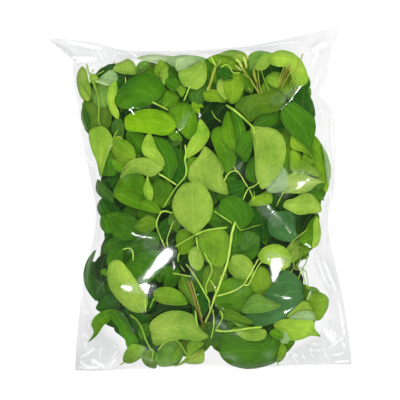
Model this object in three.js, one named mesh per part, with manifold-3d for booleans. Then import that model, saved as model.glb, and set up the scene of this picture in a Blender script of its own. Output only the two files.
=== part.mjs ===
// A clear film bag of fresh sour leaves, shut and lying on its back. The film is pressed round a heap of
// vine leaves, so the bag is one solid: a pillow of leaves, the flat empty film round it, and the leaves
// and stems that show.
// Millimetres, +Z up, +Y towards the bag's mouth. The origin is at the middle of the underside.
import * as THREE from "three";
import { mergeVertices } from "three/addons/utils/BufferGeometryUtils.js";
import Module from "manifold-3d";

// Driving sizes
const HEAP_HEIGHT = 76; // the pillow of leaves at its middle
const RIM_HEIGHT = 21; // where front and back film meet at the side of the heap
const EDGE_HEIGHT = 9; // the film's free edge, which droops towards the table
const EAR_RISE = 7; // how much higher the two top corners stand than the rest of the edge
const EAR_SPREAD = 1.6; // how many stations of the outline a raised corner takes up
const MARGIN_DROOP = 0.8; // below 1, the film beside the heap falls faster at first
const FILM_SOLID = 1.2; // thickness given to the two sheets of film where they lie together
const LEAF_PROUD = 1.1; // how far a leaf at the lowest level stands above the pillow
const LEVEL_STEP = 0.45; // each level of leaf lies this much higher
const SUNK_IN_HEAP = 1.6; // a leaf's underside is set this deep into the pillow
const SUNK_IN_MARGIN = 0.3; // and this deep into the film beyond it
const HEAP_CENTRE = new THREE.Vector2(4, -8);

// Profile of the pillow from its middle, 0, to its rim, 1
const DOME_FLATNESS = 3.2;
const DOME_FULLNESS = 0.6;
const FLAT_SHARE = 0.7; // the part of the underside that lies flat on the table
const LUMP_HEIGHT = 2.6;
const LUMP_LENGTH_X = 31;
const LUMP_LENGTH_Y = 37;
const LUMP_PHASE_X = 0.7;
const LUMP_PHASE_Y = -0.5;

// Mesh fineness
const SPANS_PER_STATION = 2;
const FRONT_RINGS = [0.35, 0.56, 0.72, 0.83, 0.91, 0.97, 1];
const MARGIN_RINGS = [0.5, 1];
const BACK_RINGS = [0.99, 0.94, 0.84, FLAT_SHARE];
const LEAF_ROWS = [0.07, 0.3, 0.6, 0.87];
const STEM_SIDES = 6;
const STEM_STEPS_PER_SPAN = 3;
const REACH_STEPS = 720;
const CURVE_TENSION = 0.5;
const SAME_POINT = 1e-4; // corners closer than this are one

// The bag's outline, clockwise from the top left corner: the film's free edge, and the heap's rim beside it.
const OUTLINE = [
  { edge: [-152, 161], rim: [-114, 130] },
  { edge: [-132, 161], rim: [-107, 133] },
  { edge: [-108, 158], rim: [-95, 133] },
  { edge: [-77, 150.5], rim: [-72, 139] },
  { edge: [-45, 149.5], rim: [-42, 143] },
  { edge: [-10, 150.5], rim: [-8, 144] },
  { edge: [30, 153], rim: [27, 146] },
  { edge: [62, 157], rim: [58, 147] },
  { edge: [95, 164], rim: [84, 146] },
  { edge: [125, 170.5], rim: [97, 141] },
  { edge: [137, 172], rim: [104, 134] },
  { edge: [134, 153], rim: [108, 124] },
  { edge: [127, 127], rim: [111, 114] },
  { edge: [119, 107], rim: [112, 104] },
  { edge: [126, 97], rim: [113, 94] },
  { edge: [133, 84], rim: [115, 80] },
  { edge: [135, 50], rim: [122, 48] },
  { edge: [134, 14], rim: [128, 16] },
  { edge: [128, -12], rim: [121, -12] },
  { edge: [129, -38], rim: [116, -40] },
  { edge: [136, -70], rim: [112, -64] },
  { edge: [143, -102], rim: [126, -94] },
  { edge: [149, -142], rim: [122, -122] },
  { edge: [151.3, -164.5], rim: [104, -137] },
  { edge: [122, -164.5], rim: [89, -147] },
  { edge: [92, -165], rim: [80, -157] },
  { edge: [55, -168], rim: [52, -163.5] },
  { edge: [18, -165], rim: [17, -161.5] },
  { edge: [-14, -165.5], rim: [-12, -161.5] },
  { edge: [-48, -168.5], rim: [-45, -161.5] },
  { edge: [-74, -168.5], rim: [-66, -156] },
  { edge: [-98, -170.5], rim: [-78, -143] },
  { edge: [-126, -170.5], rim: [-92, -126] },
  { edge: [-124, -138], rim: [-105, -110] },
  { edge: [-120, -100], rim: [-113, -88] },
  { edge: [-115, -66], rim: [-110, -64] },
  { edge: [-107, -38], rim: [-99, -40] },
  { edge: [-105, -8], rim: [-100, -8] },
  { edge: [-110, 20], rim: [-103, 20] },
  { edge: [-117, 56], rim: [-110, 56] },
  { edge: [-122, 90], rim: [-118, 88] },
  { edge: [-128, 126], rim: [-121, 116] },
  { edge: [-129.5, 149], rim: [-118, 126] },
];
const EAR_STATIONS = [0, 10]; // the top corners' places in the outline

// The leaves that show most. base is where the stalk joins, tip is the point and wide is the full width.
// level is its place in the stack, and tilt lifts its left (+) or right (-) side, seen from base to tip.
const LEAVES = [
  // top left
  { base: [-18, 143], tip: [-61, 143], wide: 13, level: 0, tilt: 1 },
  { base: [-88, 129], tip: [-62, 130], wide: 22, level: 2, tilt: 1 },
  { base: [-99, 94], tip: [-102, 120], wide: 24, level: 1, tilt: 0 },
  { base: [-114, 98], tip: [-117, 132], wide: 14, level: 2, tilt: 0 },
  { base: [-83, 81], tip: [-86, 120], wide: 12, level: 4, tilt: 1 },
  { base: [-48, 96], tip: [-80, 120], wide: 42, level: 5, tilt: -1 },
  { base: [-23, 74], tip: [-77, 76], wide: 26, level: 6, tilt: 1 },
  { base: [-45, 69], tip: [-70, 50], wide: 30, level: 2, tilt: 0 },
  { base: [-100, 73], tip: [-98, 23], wide: 24, level: 5, tilt: 1 },
  { base: [-65, 37], tip: [-84, 59], wide: 27, level: 2, tilt: 0 },
  { base: [-49, 67], tip: [-36, 34], wide: 15, level: 6, tilt: 1 },
  { base: [-46, 65], tip: [-18, 12], wide: 24, level: 3, tilt: -1 },
  { base: [-15, 98], tip: [-22, 69], wide: 27, level: 4, tilt: 1 },
  { base: [0, 80], tip: [-16, 43], wide: 24, level: 3, tilt: -1 },
  { base: [-10, 112], tip: [-7, 140], wide: 30, level: 5, tilt: 1 },
  { base: [-36, 116], tip: [-37, 138], wide: 16, level: 3, tilt: 0 },
  // top right
  { base: [46, 140], tip: [13, 141], wide: 17, level: 1, tilt: 1 },
  { base: [32, 97], tip: [36, 126], wide: 19, level: 4, tilt: 1 },
  { base: [29, 99], tip: [3, 102], wide: 14, level: 4, tilt: 0 },
  { base: [52, 78], tip: [62, 110], wide: 42, level: 2, tilt: -1 },
  { base: [62, 136], tip: [100, 138], wide: 20, level: 2, tilt: 1 },
  { base: [97, 141], tip: [104, 108], wide: 22, level: 2, tilt: 1 },
  { base: [82, 92], tip: [112, 60], wide: 32, level: 3, tilt: 1 },
  { base: [54, 73], tip: [66, 11], wide: 38, level: 7, tilt: 1 },
  { base: [35, 51], tip: [28, 92], wide: 19, level: 5, tilt: 1 },
  { base: [36, 52], tip: [52, 50], wide: 25, level: 3, tilt: 0 },
  { base: [13, 66], tip: [27, 28], wide: 21, level: 3, tilt: -1 },
  { base: [91, 48], tip: [118, 24], wide: 25, level: 4, tilt: 0 },
  { base: [114, 62], tip: [125, 13], wide: 16, level: 3, tilt: -1 },
  { base: [79, 10], tip: [124, 17], wide: 19, level: 5, tilt: 1 },
  // middle
  { base: [26, 5], tip: [-2, 53], wide: 42, level: 4, tilt: 1 },
  { base: [-5, -32], tip: [-8, 17], wide: 41, level: 8, tilt: 1 },
  { base: [-50, 28], tip: [-86, 2], wide: 40, level: 4, tilt: -1 },
  { base: [-40, 29], tip: [-78, 23], wide: 17, level: 6, tilt: 1 },
  { base: [-40, -9], tip: [-36, 21], wide: 22, level: 4, tilt: 0 },
  { base: [43, -29], tip: [24, 3], wide: 28, level: 4, tilt: 1 },
  { base: [42, -30], tip: [74, -22], wide: 19, level: 6, tilt: 0 },
  { base: [118, -12], tip: [83, -7], wide: 22, level: 5, tilt: 1 },
  { base: [97, -38], tip: [117, -16], wide: 25, level: 4, tilt: 0 },
  { base: [93, -40], tip: [72, -22], wide: 28, level: 2, tilt: 0 },
  { base: [60, -63], tip: [91, -56], wide: 19, level: 7, tilt: 1 },
  { base: [11, -66], tip: [15, -28], wide: 30, level: 4, tilt: -1 },
  { base: [-3, -43], tip: [-1, -71], wide: 15, level: 7, tilt: 0 },
  // bottom left
  { base: [-48, -42], tip: [-88, -40], wide: 34, level: 2, tilt: 0 },
  { base: [-32, -52], tip: [-72, -76], wide: 36, level: 4, tilt: 1 },
  { base: [-78, -60], tip: [-58, -114], wide: 27, level: 7, tilt: 1 },
  { base: [-96, -50], tip: [-102, -110], wide: 24, level: 2, tilt: 1 },
  { base: [-90, -112], tip: [-112, -141], wide: 11, level: 4, tilt: 0 },
  { base: [-84, -108], tip: [-70, -145], wide: 13, level: 3, tilt: 0 },
  { base: [-62, -138], tip: [-78, -162], wide: 18, level: 2, tilt: 0 },
  { base: [-49, -133], tip: [9, -136], wide: 33, level: 6, tilt: 1 },
  { base: [-16, -103], tip: [-48, -93], wide: 18, level: 5, tilt: 0 },
  { base: [-40, -148], tip: [-28, -165], wide: 26, level: 3, tilt: 0 },
  // bottom right
  { base: [28, -77], tip: [50, -57], wide: 25, level: 4, tilt: 0 },
  { base: [56, -68], tip: [68, -99], wide: 23, level: 5, tilt: -1 },
  { base: [18, -105], tip: [52, -82], wide: 31, level: 5, tilt: -1 },
  { base: [45, -112], tip: [106, -90], wide: 50, level: 3, tilt: 1 },
  { base: [40, -106], tip: [84, -105], wide: 18, level: 7, tilt: 0 },
  { base: [33, -122], tip: [64, -133], wide: 16, level: 5, tilt: 0 },
  { base: [68, -131], tip: [18, -152], wide: 34, level: 3, tilt: 0 },
  { base: [77, -126], tip: [120, -136], wide: 20, level: 4, tilt: 1 },
  { base: [108, -96], tip: [126, -113], wide: 24, level: 3, tilt: 0 },
];
const BASE_ROUNDNESS = 0.45; // how bluntly a blade starts at its stalk
const TIP_ROUNDNESS = 0.6; // and how bluntly it ends
const EDGE_CURL = 0.9;
const WAVE_HEIGHT = 0.7;
const WAVE_TURN = 5; // how far, in radians, a wave goes on from stalk to point
const TILT_RISE = 0.8; // how far a tilted blade's edge is lifted

// The stems that lie on top, each by a few points that it passes and its thickness.
const STEMS = [
  { path: [[35, -22], [29, -42], [25, -66], [15, -96], [4, -126]], thick: 3.2, level: 7 },
  { path: [[28, -28], [2, -33], [-24, -45], [-36, -58]], thick: 2.4, level: 8 },
  { path: [[-14, 50], [-15, 26], [-24, 14], [-39, -10]], thick: 2, level: 7 },
  { path: [[20, 134], [14, 118], [8, 110]], thick: 3.4, level: 3 },
  { path: [[26, 95], [40, 84], [53, 72]], thick: 2.8, level: 6 },
  { path: [[-14, -64], [-4, -82], [8, -104]], thick: 2.2, level: 6 },
  { path: [[15, -97], [34, -93], [46, -82], [58, -63]], thick: 2, level: 8 },
  { path: [[14, -131], [36, -130], [66, -127]], thick: 2.6, level: 6 },
];

const green = new THREE.MeshStandardMaterial({ color: 0x6f9e2c, roughness: 0.35, metalness: 0 });

const wasm = await Module();
wasm.setup();

const plan = (key) =>
  new THREE.CatmullRomCurve3(
    OUTLINE.map((station) => new THREE.Vector3(...station[key], 0)),
    true,
    "catmullrom",
    CURVE_TENSION,
  );
const edgeCurve = plan("edge");
const rimCurve = plan("rim");
const STATIONS = OUTLINE.length * SPANS_PER_STATION;

// How far an outline reaches from the heap's centre, by angle
function reachTable(curve) {
  return Array.from({ length: REACH_STEPS }, (_, i) => {
    const p = curve.getPoint(i / REACH_STEPS);
    const angle = Math.atan2(p.y - HEAP_CENTRE.y, p.x - HEAP_CENTRE.x);
    return { angle, reach: Math.hypot(p.x - HEAP_CENTRE.x, p.y - HEAP_CENTRE.y) };
  }).sort((a, b) => a.angle - b.angle);
}
const rimReach = reachTable(rimCurve);
const edgeReach = reachTable(edgeCurve);

function reachAt(table, angle) {
  const found = table.findIndex((sample) => sample.angle >= angle);
  const high = table[Math.max(found, 0)];
  const low = table.at(Math.max(found, 0) - 1);
  const span = THREE.MathUtils.euclideanModulo(high.angle - low.angle, 2 * Math.PI) || 1;
  const along = THREE.MathUtils.euclideanModulo(angle - low.angle, 2 * Math.PI) / span;
  return THREE.MathUtils.lerp(low.reach, high.reach, Math.min(along, 1));
}

function domeHeight(share, x, y) {
  const inside = Math.max(0, 1 - share ** DOME_FLATNESS);
  const alongX = Math.sin(x / LUMP_LENGTH_X + LUMP_PHASE_X);
  const lumps = LUMP_HEIGHT * alongX * Math.cos(y / LUMP_LENGTH_Y + LUMP_PHASE_Y);
  return RIM_HEIGHT + (HEAP_HEIGHT - LUMP_HEIGHT - RIM_HEIGHT) * inside ** DOME_FULLNESS + lumps * inside;
}

// The underside: flat on the table, then a quarter round up to the rim
function bellyHeight(share) {
  const along = THREE.MathUtils.clamp((share - FLAT_SHARE) / (1 - FLAT_SHARE), 0, 1);
  return RIM_HEIGHT * (1 - Math.sqrt(1 - along ** 2));
}

// The film beyond the heap, from its rim, 0, to the free edge, 1
function marginHeight(share, edge) {
  return THREE.MathUtils.lerp(RIM_HEIGHT, edge, share ** MARGIN_DROOP);
}

// A place seen from the heap's centre: how far it is, and how far the rim and the film's edge are that way
function polar(x, y) {
  const [dx, dy] = [x - HEAP_CENTRE.x, y - HEAP_CENTRE.y];
  const angle = Math.atan2(dy, dx);
  return { reach: Math.hypot(dx, dy), rim: reachAt(rimReach, angle), edge: reachAt(edgeReach, angle) };
}

function frontHeight(x, y) {
  const { reach, rim, edge } = polar(x, y);
  if (reach <= rim) return domeHeight(reach / rim, x, y);
  return marginHeight(Math.min((reach - rim) / (edge - rim), 1), EDGE_HEIGHT);
}

function sunkDepth(x, y) {
  const { reach, rim } = polar(x, y);
  return reach < rim ? SUNK_IN_HEAP : SUNK_IN_MARGIN;
}

// The film's free edge stands higher at the two top corners.
function edgeHeight(station) {
  const nearest = Math.min(
    ...EAR_STATIONS.map((ear) => {
      const apart = Math.abs(station / SPANS_PER_STATION - ear);
      return Math.min(apart, OUTLINE.length - apart);
    }),
  );
  return EDGE_HEIGHT + EAR_RISE * Math.exp(-((nearest / EAR_SPREAD) ** 2));
}

// A closed mesh from rings of points: a fan at the start, strips between rings, and a flat cap at the end.
function closedFromRings(start, rings) {
  const positions = [...start.toArray(), ...rings.flat().flatMap((p) => p.toArray())];
  const count = rings[0].length;
  const at = (ring, i) => 1 + ring * count + (i % count);
  const triangles = [];
  for (let i = 0; i < count; i++) triangles.push(0, at(0, i + 1), at(0, i));
  for (let ring = 0; ring + 1 < rings.length; ring++)
    for (let i = 0; i < count; i++) {
      triangles.push(at(ring, i), at(ring, i + 1), at(ring + 1, i));
      triangles.push(at(ring, i + 1), at(ring + 1, i + 1), at(ring + 1, i));
    }
  const last = rings.length - 1;
  const cap = THREE.ShapeUtils.triangulateShape(rings[last].map((p) => new THREE.Vector2(p.x, p.y)), []);
  for (const [a, b, c] of cap) triangles.push(at(last, a), at(last, c), at(last, b));
  const geometry = new THREE.BufferGeometry();
  geometry.setAttribute("position", new THREE.Float32BufferAttribute(positions, 3));
  geometry.setIndex(triangles);
  return geometry;
}

function bagGeometry() {
  const stations = Array.from({ length: STATIONS }, (_, i) => {
    const t = i / STATIONS;
    return { rim: rimCurve.getPoint(t), edge: edgeCurve.getPoint(t), height: edgeHeight(i) };
  });
  const centre = new THREE.Vector3(HEAP_CENTRE.x, HEAP_CENTRE.y, 0);
  const heapRing = (share, heightOf, shift) =>
    stations.map(({ rim }) => {
      const p = centre.clone().lerp(rim, share);
      return p.setZ(heightOf(share, p.x, p.y) + shift);
    });
  const marginRing = (share, shift) =>
    stations.map(({ rim, edge, height }) =>
      rim.clone().lerp(edge, share).setZ(marginHeight(share, height) + shift),
    );
  const half = FILM_SOLID / 2;
  const rings = [
    ...FRONT_RINGS.map((share) => heapRing(share, domeHeight, half)),
    ...MARGIN_RINGS.map((share) => marginRing(share, half)),
    ...[...MARGIN_RINGS].reverse().map((share) => marginRing(share, -half)),
    heapRing(1, () => RIM_HEIGHT, -half),
    ...BACK_RINGS.map((share) => heapRing(share, bellyHeight, 0)),
  ];
  const top = centre.clone().setZ(domeHeight(0, centre.x, centre.y) + half);
  return closedFromRings(top, rings);
}

// Half the blade's width at a place from its stalk, 0, to its point, 1
function bladeShare(along) {
  const widest = BASE_ROUNDNESS / (BASE_ROUNDNESS + TIP_ROUNDNESS);
  const shape = (u) => u ** BASE_ROUNDNESS * (1 - u) ** TIP_ROUNDNESS;
  return shape(along) / shape(widest);
}

// A thin wavy blade that follows the pillow, with its two faces split alike
function leafGeometry({ base, tip, wide, level, tilt }) {
  const from = new THREE.Vector2(...base);
  const along = new THREE.Vector2(...tip).sub(from);
  const across = new THREE.Vector2(-along.y, along.x).normalize();
  const point = (u, side) => {
    const reach = (side * wide * (u <= 0 || u >= 1 ? 0 : bladeShare(u))) / 2;
    const x = from.x + along.x * u + across.x * reach;
    const y = from.y + along.y * u + across.y * reach;
    const curl = EDGE_CURL * side * side * Math.sin(Math.PI * u);
    const wave = WAVE_HEIGHT * side * Math.sin(WAVE_TURN * u + level);
    const lean = side * tilt * TILT_RISE;
    return new THREE.Vector3(x, y, frontHeight(x, y) + LEAF_PROUD + level * LEVEL_STEP + curl + wave + lean);
  };
  const upper = [point(0, 0)];
  for (const u of LEAF_ROWS) upper.push(point(u, 1), point(u, 0), point(u, -1));
  upper.push(point(1, 0));
  const points = [...upper, ...upper.map((p) => p.clone().setZ(frontHeight(p.x, p.y) - sunkDepth(p.x, p.y)))];
  const last = upper.length - 1;
  const face = [];
  face.push([0, 2, 1], [0, 3, 2]);
  for (let row = 0; row + 1 < LEAF_ROWS.length; row++)
    for (const side of [0, 1]) {
      const a = 1 + row * 3 + side;
      face.push([a, a + 1, a + 3], [a + 1, a + 4, a + 3]);
    }
  face.push([last - 3, last - 2, last], [last - 2, last - 1, last]);
  const left = [0, ...LEAF_ROWS.map((_, row) => 1 + row * 3), last];
  const right = [0, ...LEAF_ROWS.map((_, row) => 3 + row * 3), last];
  const triangles = [];
  const lower = upper.length;
  for (const [a, b, c] of face) triangles.push(a, b, c, lower + a, lower + c, lower + b);
  const wall = (rim, flip) => {
    for (let i = 0; i + 1 < rim.length; i++) {
      const [a, b] = flip ? [rim[i + 1], rim[i]] : [rim[i], rim[i + 1]];
      triangles.push(a, b, lower + a, b, lower + b, lower + a);
    }
  };
  wall(left, false);
  wall(right, true);
  const geometry = new THREE.BufferGeometry().setFromPoints(points);
  geometry.setIndex(triangles);
  return geometry;
}

function stemGeometry({ path, thick, level }) {
  const route = new THREE.CatmullRomCurve3(
    path.map(([x, y]) => new THREE.Vector3(x, y, frontHeight(x, y) + LEAF_PROUD + level * LEVEL_STEP)),
  );
  const section = new THREE.Shape(
    Array.from({ length: STEM_SIDES }, (_, i) => {
      const angle = (2 * Math.PI * i) / STEM_SIDES;
      return new THREE.Vector2((Math.cos(angle) * thick) / 2, (Math.sin(angle) * thick) / 2);
    }),
  );
  const steps = (path.length - 1) * STEM_STEPS_PER_SPAN;
  return new THREE.ExtrudeGeometry(section, { steps, extrudePath: route, bevelEnabled: false });
}

function solidOf(geometry) {
  geometry.deleteAttribute("normal");
  geometry.deleteAttribute("uv");
  const merged = mergeVertices(geometry, SAME_POINT);
  const mesh = new wasm.Mesh({
    numProp: 3,
    vertProperties: new Float32Array(merged.attributes.position.array),
    triVerts: new Uint32Array(merged.index.array),
  });
  return new wasm.Manifold(mesh);
}

function geometryOf(solid) {
  const mesh = solid.getMesh();
  const geometry = new THREE.BufferGeometry();
  geometry.setAttribute("position", new THREE.BufferAttribute(mesh.vertProperties, 3));
  geometry.setIndex(new THREE.BufferAttribute(mesh.triVerts, 1));
  geometry.computeVertexNormals();
  return geometry;
}

let bag = solidOf(bagGeometry());
for (const leaf of LEAVES) bag = bag.add(solidOf(leafGeometry(leaf)));
for (const stem of STEMS) bag = bag.add(solidOf(stemGeometry(stem)));

// A hollow that the leaves seal is filled, and a scrap that touches nothing is dropped.
const [whole] = bag.decompose().sort((a, b) => b.volume() - a.volume());

const leafBag = new THREE.Mesh(geometryOf(whole), green);
leafBag.name = "leaf_bag";

const root = new THREE.Group();
root.add(leafBag);
export default root;
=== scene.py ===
"""A clear film bag pressed round a heap of fresh sour leaves, lying on its back with the shown side up.

The leaves are laid one on another on a millimetre height map, from the hidden ones in the middle of the
heap to those that touch the film. Stems and tendrils go on last, and the film is drawn over them all. Sizes
and places are millimetres in the model's own frame, +X to the right and +Y towards the bag's mouth. Those of
the settings, the lamps, the camera and the floor are metres, as in the meshes.
"""
import math
from typing import NamedTuple
import bpy
import numpy as np
from bpy.props import FloatProperty, IntProperty, FloatVectorProperty
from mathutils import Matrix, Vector


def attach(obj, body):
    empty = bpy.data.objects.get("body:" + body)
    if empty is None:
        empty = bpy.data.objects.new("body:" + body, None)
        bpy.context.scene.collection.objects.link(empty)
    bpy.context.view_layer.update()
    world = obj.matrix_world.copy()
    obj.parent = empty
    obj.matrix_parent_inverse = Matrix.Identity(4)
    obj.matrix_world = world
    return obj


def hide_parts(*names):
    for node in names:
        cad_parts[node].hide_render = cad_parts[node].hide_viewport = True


bl_info = {
    "name": "Bag of Sour Leaves",
    "version": (1, 0, 0),
    "blender": (4, 5, 0),
    "location": "View3D > Sidebar > Leaf Bag",
    "description": "Builds a clear bag of fresh leaves: core, leaves, stems, tendrils and film",
    "category": "Add Mesh",
}

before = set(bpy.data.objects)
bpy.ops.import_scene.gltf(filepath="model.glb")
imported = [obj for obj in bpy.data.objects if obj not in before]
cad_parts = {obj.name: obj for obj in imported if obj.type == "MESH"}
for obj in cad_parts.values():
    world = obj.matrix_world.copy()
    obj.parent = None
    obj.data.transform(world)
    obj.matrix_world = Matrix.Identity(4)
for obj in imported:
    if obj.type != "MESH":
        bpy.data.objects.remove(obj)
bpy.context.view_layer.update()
BODY = "root"
BAG_NODE = "leaf_bag"
MM = 0.001

# ---------------------------------------------------------------- the bag's form

HEAP_HEIGHT = 76.0
RIM_HEIGHT = 21.0
EDGE_HEIGHT = 9.0
EAR_RISE = 7.0  # of the two top corners above the rest of the free edge
EAR_WIDTH = 1.6  # in stations of the outline
HEAP_CENTRE = (4.0, -8.0)
DOME_FLATNESS = 3.2
DOME_FULLNESS = 0.6
FLAT_SHARE = 0.7  # of the way to the rim, over which the underside is level
MARGIN_FALL = 0.8
LUMP_HEIGHT = 2.6
LUMP_LENGTH_X = 31.0
LUMP_LENGTH_Y = 37.0
LUMP_PHASE_X = 0.7
LUMP_PHASE_Y = -0.5

# Clockwise from the top left corner: a point of the film's free edge, and the heap's rim beside it.
OUTLINE = [
    ((-152, 161), (-114, 130)),
    ((-132, 161), (-107, 133)),
    ((-108, 158), (-95, 133)),
    ((-77, 150.5), (-72, 139)),
    ((-45, 149.5), (-42, 143)),
    ((-10, 150.5), (-8, 144)),
    ((30, 153), (27, 146)),
    ((62, 157), (58, 147)),
    ((95, 164), (84, 146)),
    ((125, 170.5), (97, 141)),
    ((137, 172), (104, 134)),
    ((134, 153), (108, 124)),
    ((127, 127), (111, 114)),
    ((119, 107), (112, 104)),
    ((126, 97), (113, 94)),
    ((133, 84), (115, 80)),
    ((135, 50), (122, 48)),
    ((134, 14), (128, 16)),
    ((128, -12), (121, -12)),
    ((129, -38), (116, -40)),
    ((136, -70), (112, -64)),
    ((143, -102), (126, -94)),
    ((149, -142), (122, -122)),
    ((151.3, -164.5), (104, -137)),
    ((122, -164.5), (89, -147)),
    ((92, -165), (80, -157)),
    ((55, -168), (52, -163.5)),
    ((18, -165), (17, -161.5)),
    ((-14, -165.5), (-12, -161.5)),
    ((-48, -168.5), (-45, -161.5)),
    ((-74, -168.5), (-66, -156)),
    ((-98, -170.5), (-78, -143)),
    ((-126, -170.5), (-92, -126)),
    ((-124, -138), (-105, -110)),
    ((-120, -100), (-113, -88)),
    ((-115, -66), (-110, -64)),
    ((-107, -38), (-99, -40)),
    ((-105, -8), (-100, -8)),
    ((-110, 20), (-103, 20)),
    ((-117, 56), (-110, 56)),
    ((-122, 90), (-118, 88)),
    ((-128, 126), (-121, 116)),
    ((-129.5, 149), (-118, 126)),
]
CORNER_STATIONS = (0, 10, 23, 32)  # top left, top right, bottom right, bottom left
EAR_STATIONS = (0, 10)
REACH_STEPS = 2880


def closed_curve(points, station, corners=()):
    """Points of a closed Catmull-Rom curve that turns sharply at its corners, by places in stations."""
    points = np.asarray(points, float)
    station = np.asarray(station, float)
    first = np.floor(station).astype(int) % len(points)
    t = (station - np.floor(station))[..., None]
    a, b, c, d = (points[(first + k) % len(points)] for k in (-1, 0, 1, 2))
    leaves_corner = np.isin(first, corners)[..., None]
    meets_corner = np.isin((first + 1) % len(points), corners)[..., None]
    a = np.where(leaves_corner, 2 * b - c, a)
    d = np.where(meets_corner, 2 * c - b, d)
    return 0.5 * (2 * b + (c - a) * t + (2 * a - 5 * b + 4 * c - d) * t**2 + (3 * b - a - 3 * c + d) * t**3)


EDGE_POINTS = [edge for edge, rim in OUTLINE]
RIM_POINTS = [rim for edge, rim in OUTLINE]


def reach_table(points, corners=()):
    """How far a closed outline reaches from the heap's centre, by angle."""
    places = closed_curve(points, np.arange(REACH_STEPS) * len(points) / REACH_STEPS, corners) - HEAP_CENTRE
    angle = np.arctan2(places[:, 1], places[:, 0])
    order = np.argsort(angle)
    return angle[order], np.hypot(places[:, 0], places[:, 1])[order]


RIM_REACH = reach_table(RIM_POINTS)
EDGE_REACH = reach_table(EDGE_POINTS, CORNER_STATIONS)


def shares(x, y):
    """The share of the way from the heap's centre to its rim, and from the rim to the film's edge."""
    dx, dy = x - HEAP_CENTRE[0], y - HEAP_CENTRE[1]
    angle, reach = np.arctan2(dy, dx), np.hypot(dx, dy)
    rim = np.interp(angle, *RIM_REACH, period=2 * math.pi)
    edge = np.interp(angle, *EDGE_REACH, period=2 * math.pi)
    return reach / rim, np.clip((reach - rim) / (edge - rim), 0, 1)


def dome_height(share, x, y):
    """Height of the heap's upper side, from its centre, 0, to its rim, 1."""
    inside = np.clip(1 - share**DOME_FLATNESS, 0, 1)
    lumps = LUMP_HEIGHT * np.sin(x / LUMP_LENGTH_X + LUMP_PHASE_X) * np.cos(y / LUMP_LENGTH_Y + LUMP_PHASE_Y)
    return RIM_HEIGHT + (HEAP_HEIGHT - LUMP_HEIGHT - RIM_HEIGHT) * inside**DOME_FULLNESS + lumps * inside


def belly_height(share):
    """Height of the heap's underside, from its centre, 0, to its rim, 1."""
    along = np.clip((share - FLAT_SHARE) / (1 - FLAT_SHARE), 0, 1)
    return RIM_HEIGHT * (1 - np.sqrt(1 - along**2))


def margin_height(beyond, edge=EDGE_HEIGHT):
    """Height of the film beyond the heap, from its rim, 0, to the free edge, 1."""
    return RIM_HEIGHT + (edge - RIM_HEIGHT) * beyond**MARGIN_FALL


# ---------------------------------------------------------------- height maps

GRID_LEFT, GRID_BOTTOM = -165, -185
GRID_WIDTH, GRID_LENGTH = 330, 370
GRID_X, GRID_Y = np.meshgrid(
    np.arange(GRID_WIDTH + 1) + GRID_LEFT,
    np.arange(GRID_LENGTH + 1) + GRID_BOTTOM,
)
GRID_SHARE, GRID_BEYOND = shares(GRID_X, GRID_Y)


def sample(grid, x, y):
    """A height map read between its millimetres."""
    column = np.clip(x - GRID_LEFT, 0, GRID_WIDTH - 1.001)
    row = np.clip(y - GRID_BOTTOM, 0, GRID_LENGTH - 1.001)
    left, low = column.astype(int), row.astype(int)
    across, up = column - left, row - low
    lower = grid[low, left] * (1 - across) + grid[low, left + 1] * across
    upper = grid[low + 1, left] * (1 - across) + grid[low + 1, left + 1] * across
    return lower * (1 - up) + upper * up


def shifted(grid, rows, columns):
    """A height map moved by whole steps."""
    padded = np.pad(grid, ((1, 1), (1, 1)), mode="edge")
    high, wide = grid.shape
    return padded[1 + rows : 1 + rows + high, 1 + columns : 1 + columns + wide]


NEIGHBOURS = ((0, 1), (0, -1), (1, 0), (-1, 0))


def softened(grid, times):
    """A height map with each height drawn towards those beside it."""
    for _ in range(times):
        grid = grid / 2 + sum(shifted(grid, *step) for step in NEIGHBOURS) / 8
    return grid


def widened(grid, times):
    """A height map whose high places grow by a millimetre each time."""
    for _ in range(times):
        grid = np.maximum.reduce([grid] + [shifted(grid, *step) for step in NEIGHBOURS])
    return grid


# ---------------------------------------------------------------- meshes

PLAIN_TINT = (0.1, 0.2, 0.02, 1.0)


class Shell:
    """Triangles and quads of many like pieces, gathered for one mesh, with what their finish reads."""

    def __init__(self):
        self.points, self.faces, self.blades, self.tints = [], [], [], []
        self.count = 0

    def add(self, points, faces, blades=0.0, tints=PLAIN_TINT):
        points = np.asarray(points, float).reshape(-1, 3)
        self.faces.extend(tuple(int(i) + self.count for i in face) for face in faces)
        self.points.append(points)
        self.blades.append(np.broadcast_to(blades, points.shape))
        self.tints.append(np.broadcast_to(tints, (len(points), 4)))
        self.count += len(points)

    def piece(self, name, material, slot):
        """One object of the gathered faces, riding on the bag's body in place of the plain solid."""
        mesh = bpy.data.meshes.new(name)
        mesh.from_pydata((np.concatenate(self.points) * MM).tolist(), [], self.faces)
        mesh.shade_smooth()
        blade = mesh.attributes.new("blade", "FLOAT_VECTOR", "POINT")
        blade.data.foreach_set("vector", np.concatenate(self.blades).ravel())
        tint = mesh.color_attributes.new("tint", "FLOAT_COLOR", "POINT")
        tint.data.foreach_set("color", np.concatenate(self.tints).ravel())
        mesh.validate()
        mesh.materials.append(material)
        piece = bpy.data.objects.new(name, mesh)
        bpy.context.collection.objects.link(piece)
        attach(piece, BODY)
        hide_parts(BAG_NODE)
        return piece


def linear(colour):
    """An 8-bit screen colour as the light that it stands for."""
    c = np.asarray(colour, float) / 255
    return np.where(c <= 0.04045, c / 12.92, ((c + 0.055) / 1.055) ** 2.4)


# ---------------------------------------------------------------- leaves

LEAF_THICKNESS = 0.35
LEAF_GAP = 2.1  # between a leaf and what it lies on
LENGTH_UNIT = 100.0  # a blade's length is kept in its tint's fourth value in these
LIGHT_GAIN = 1.15  # makes every tone of leaves and stems this much lighter

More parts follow.
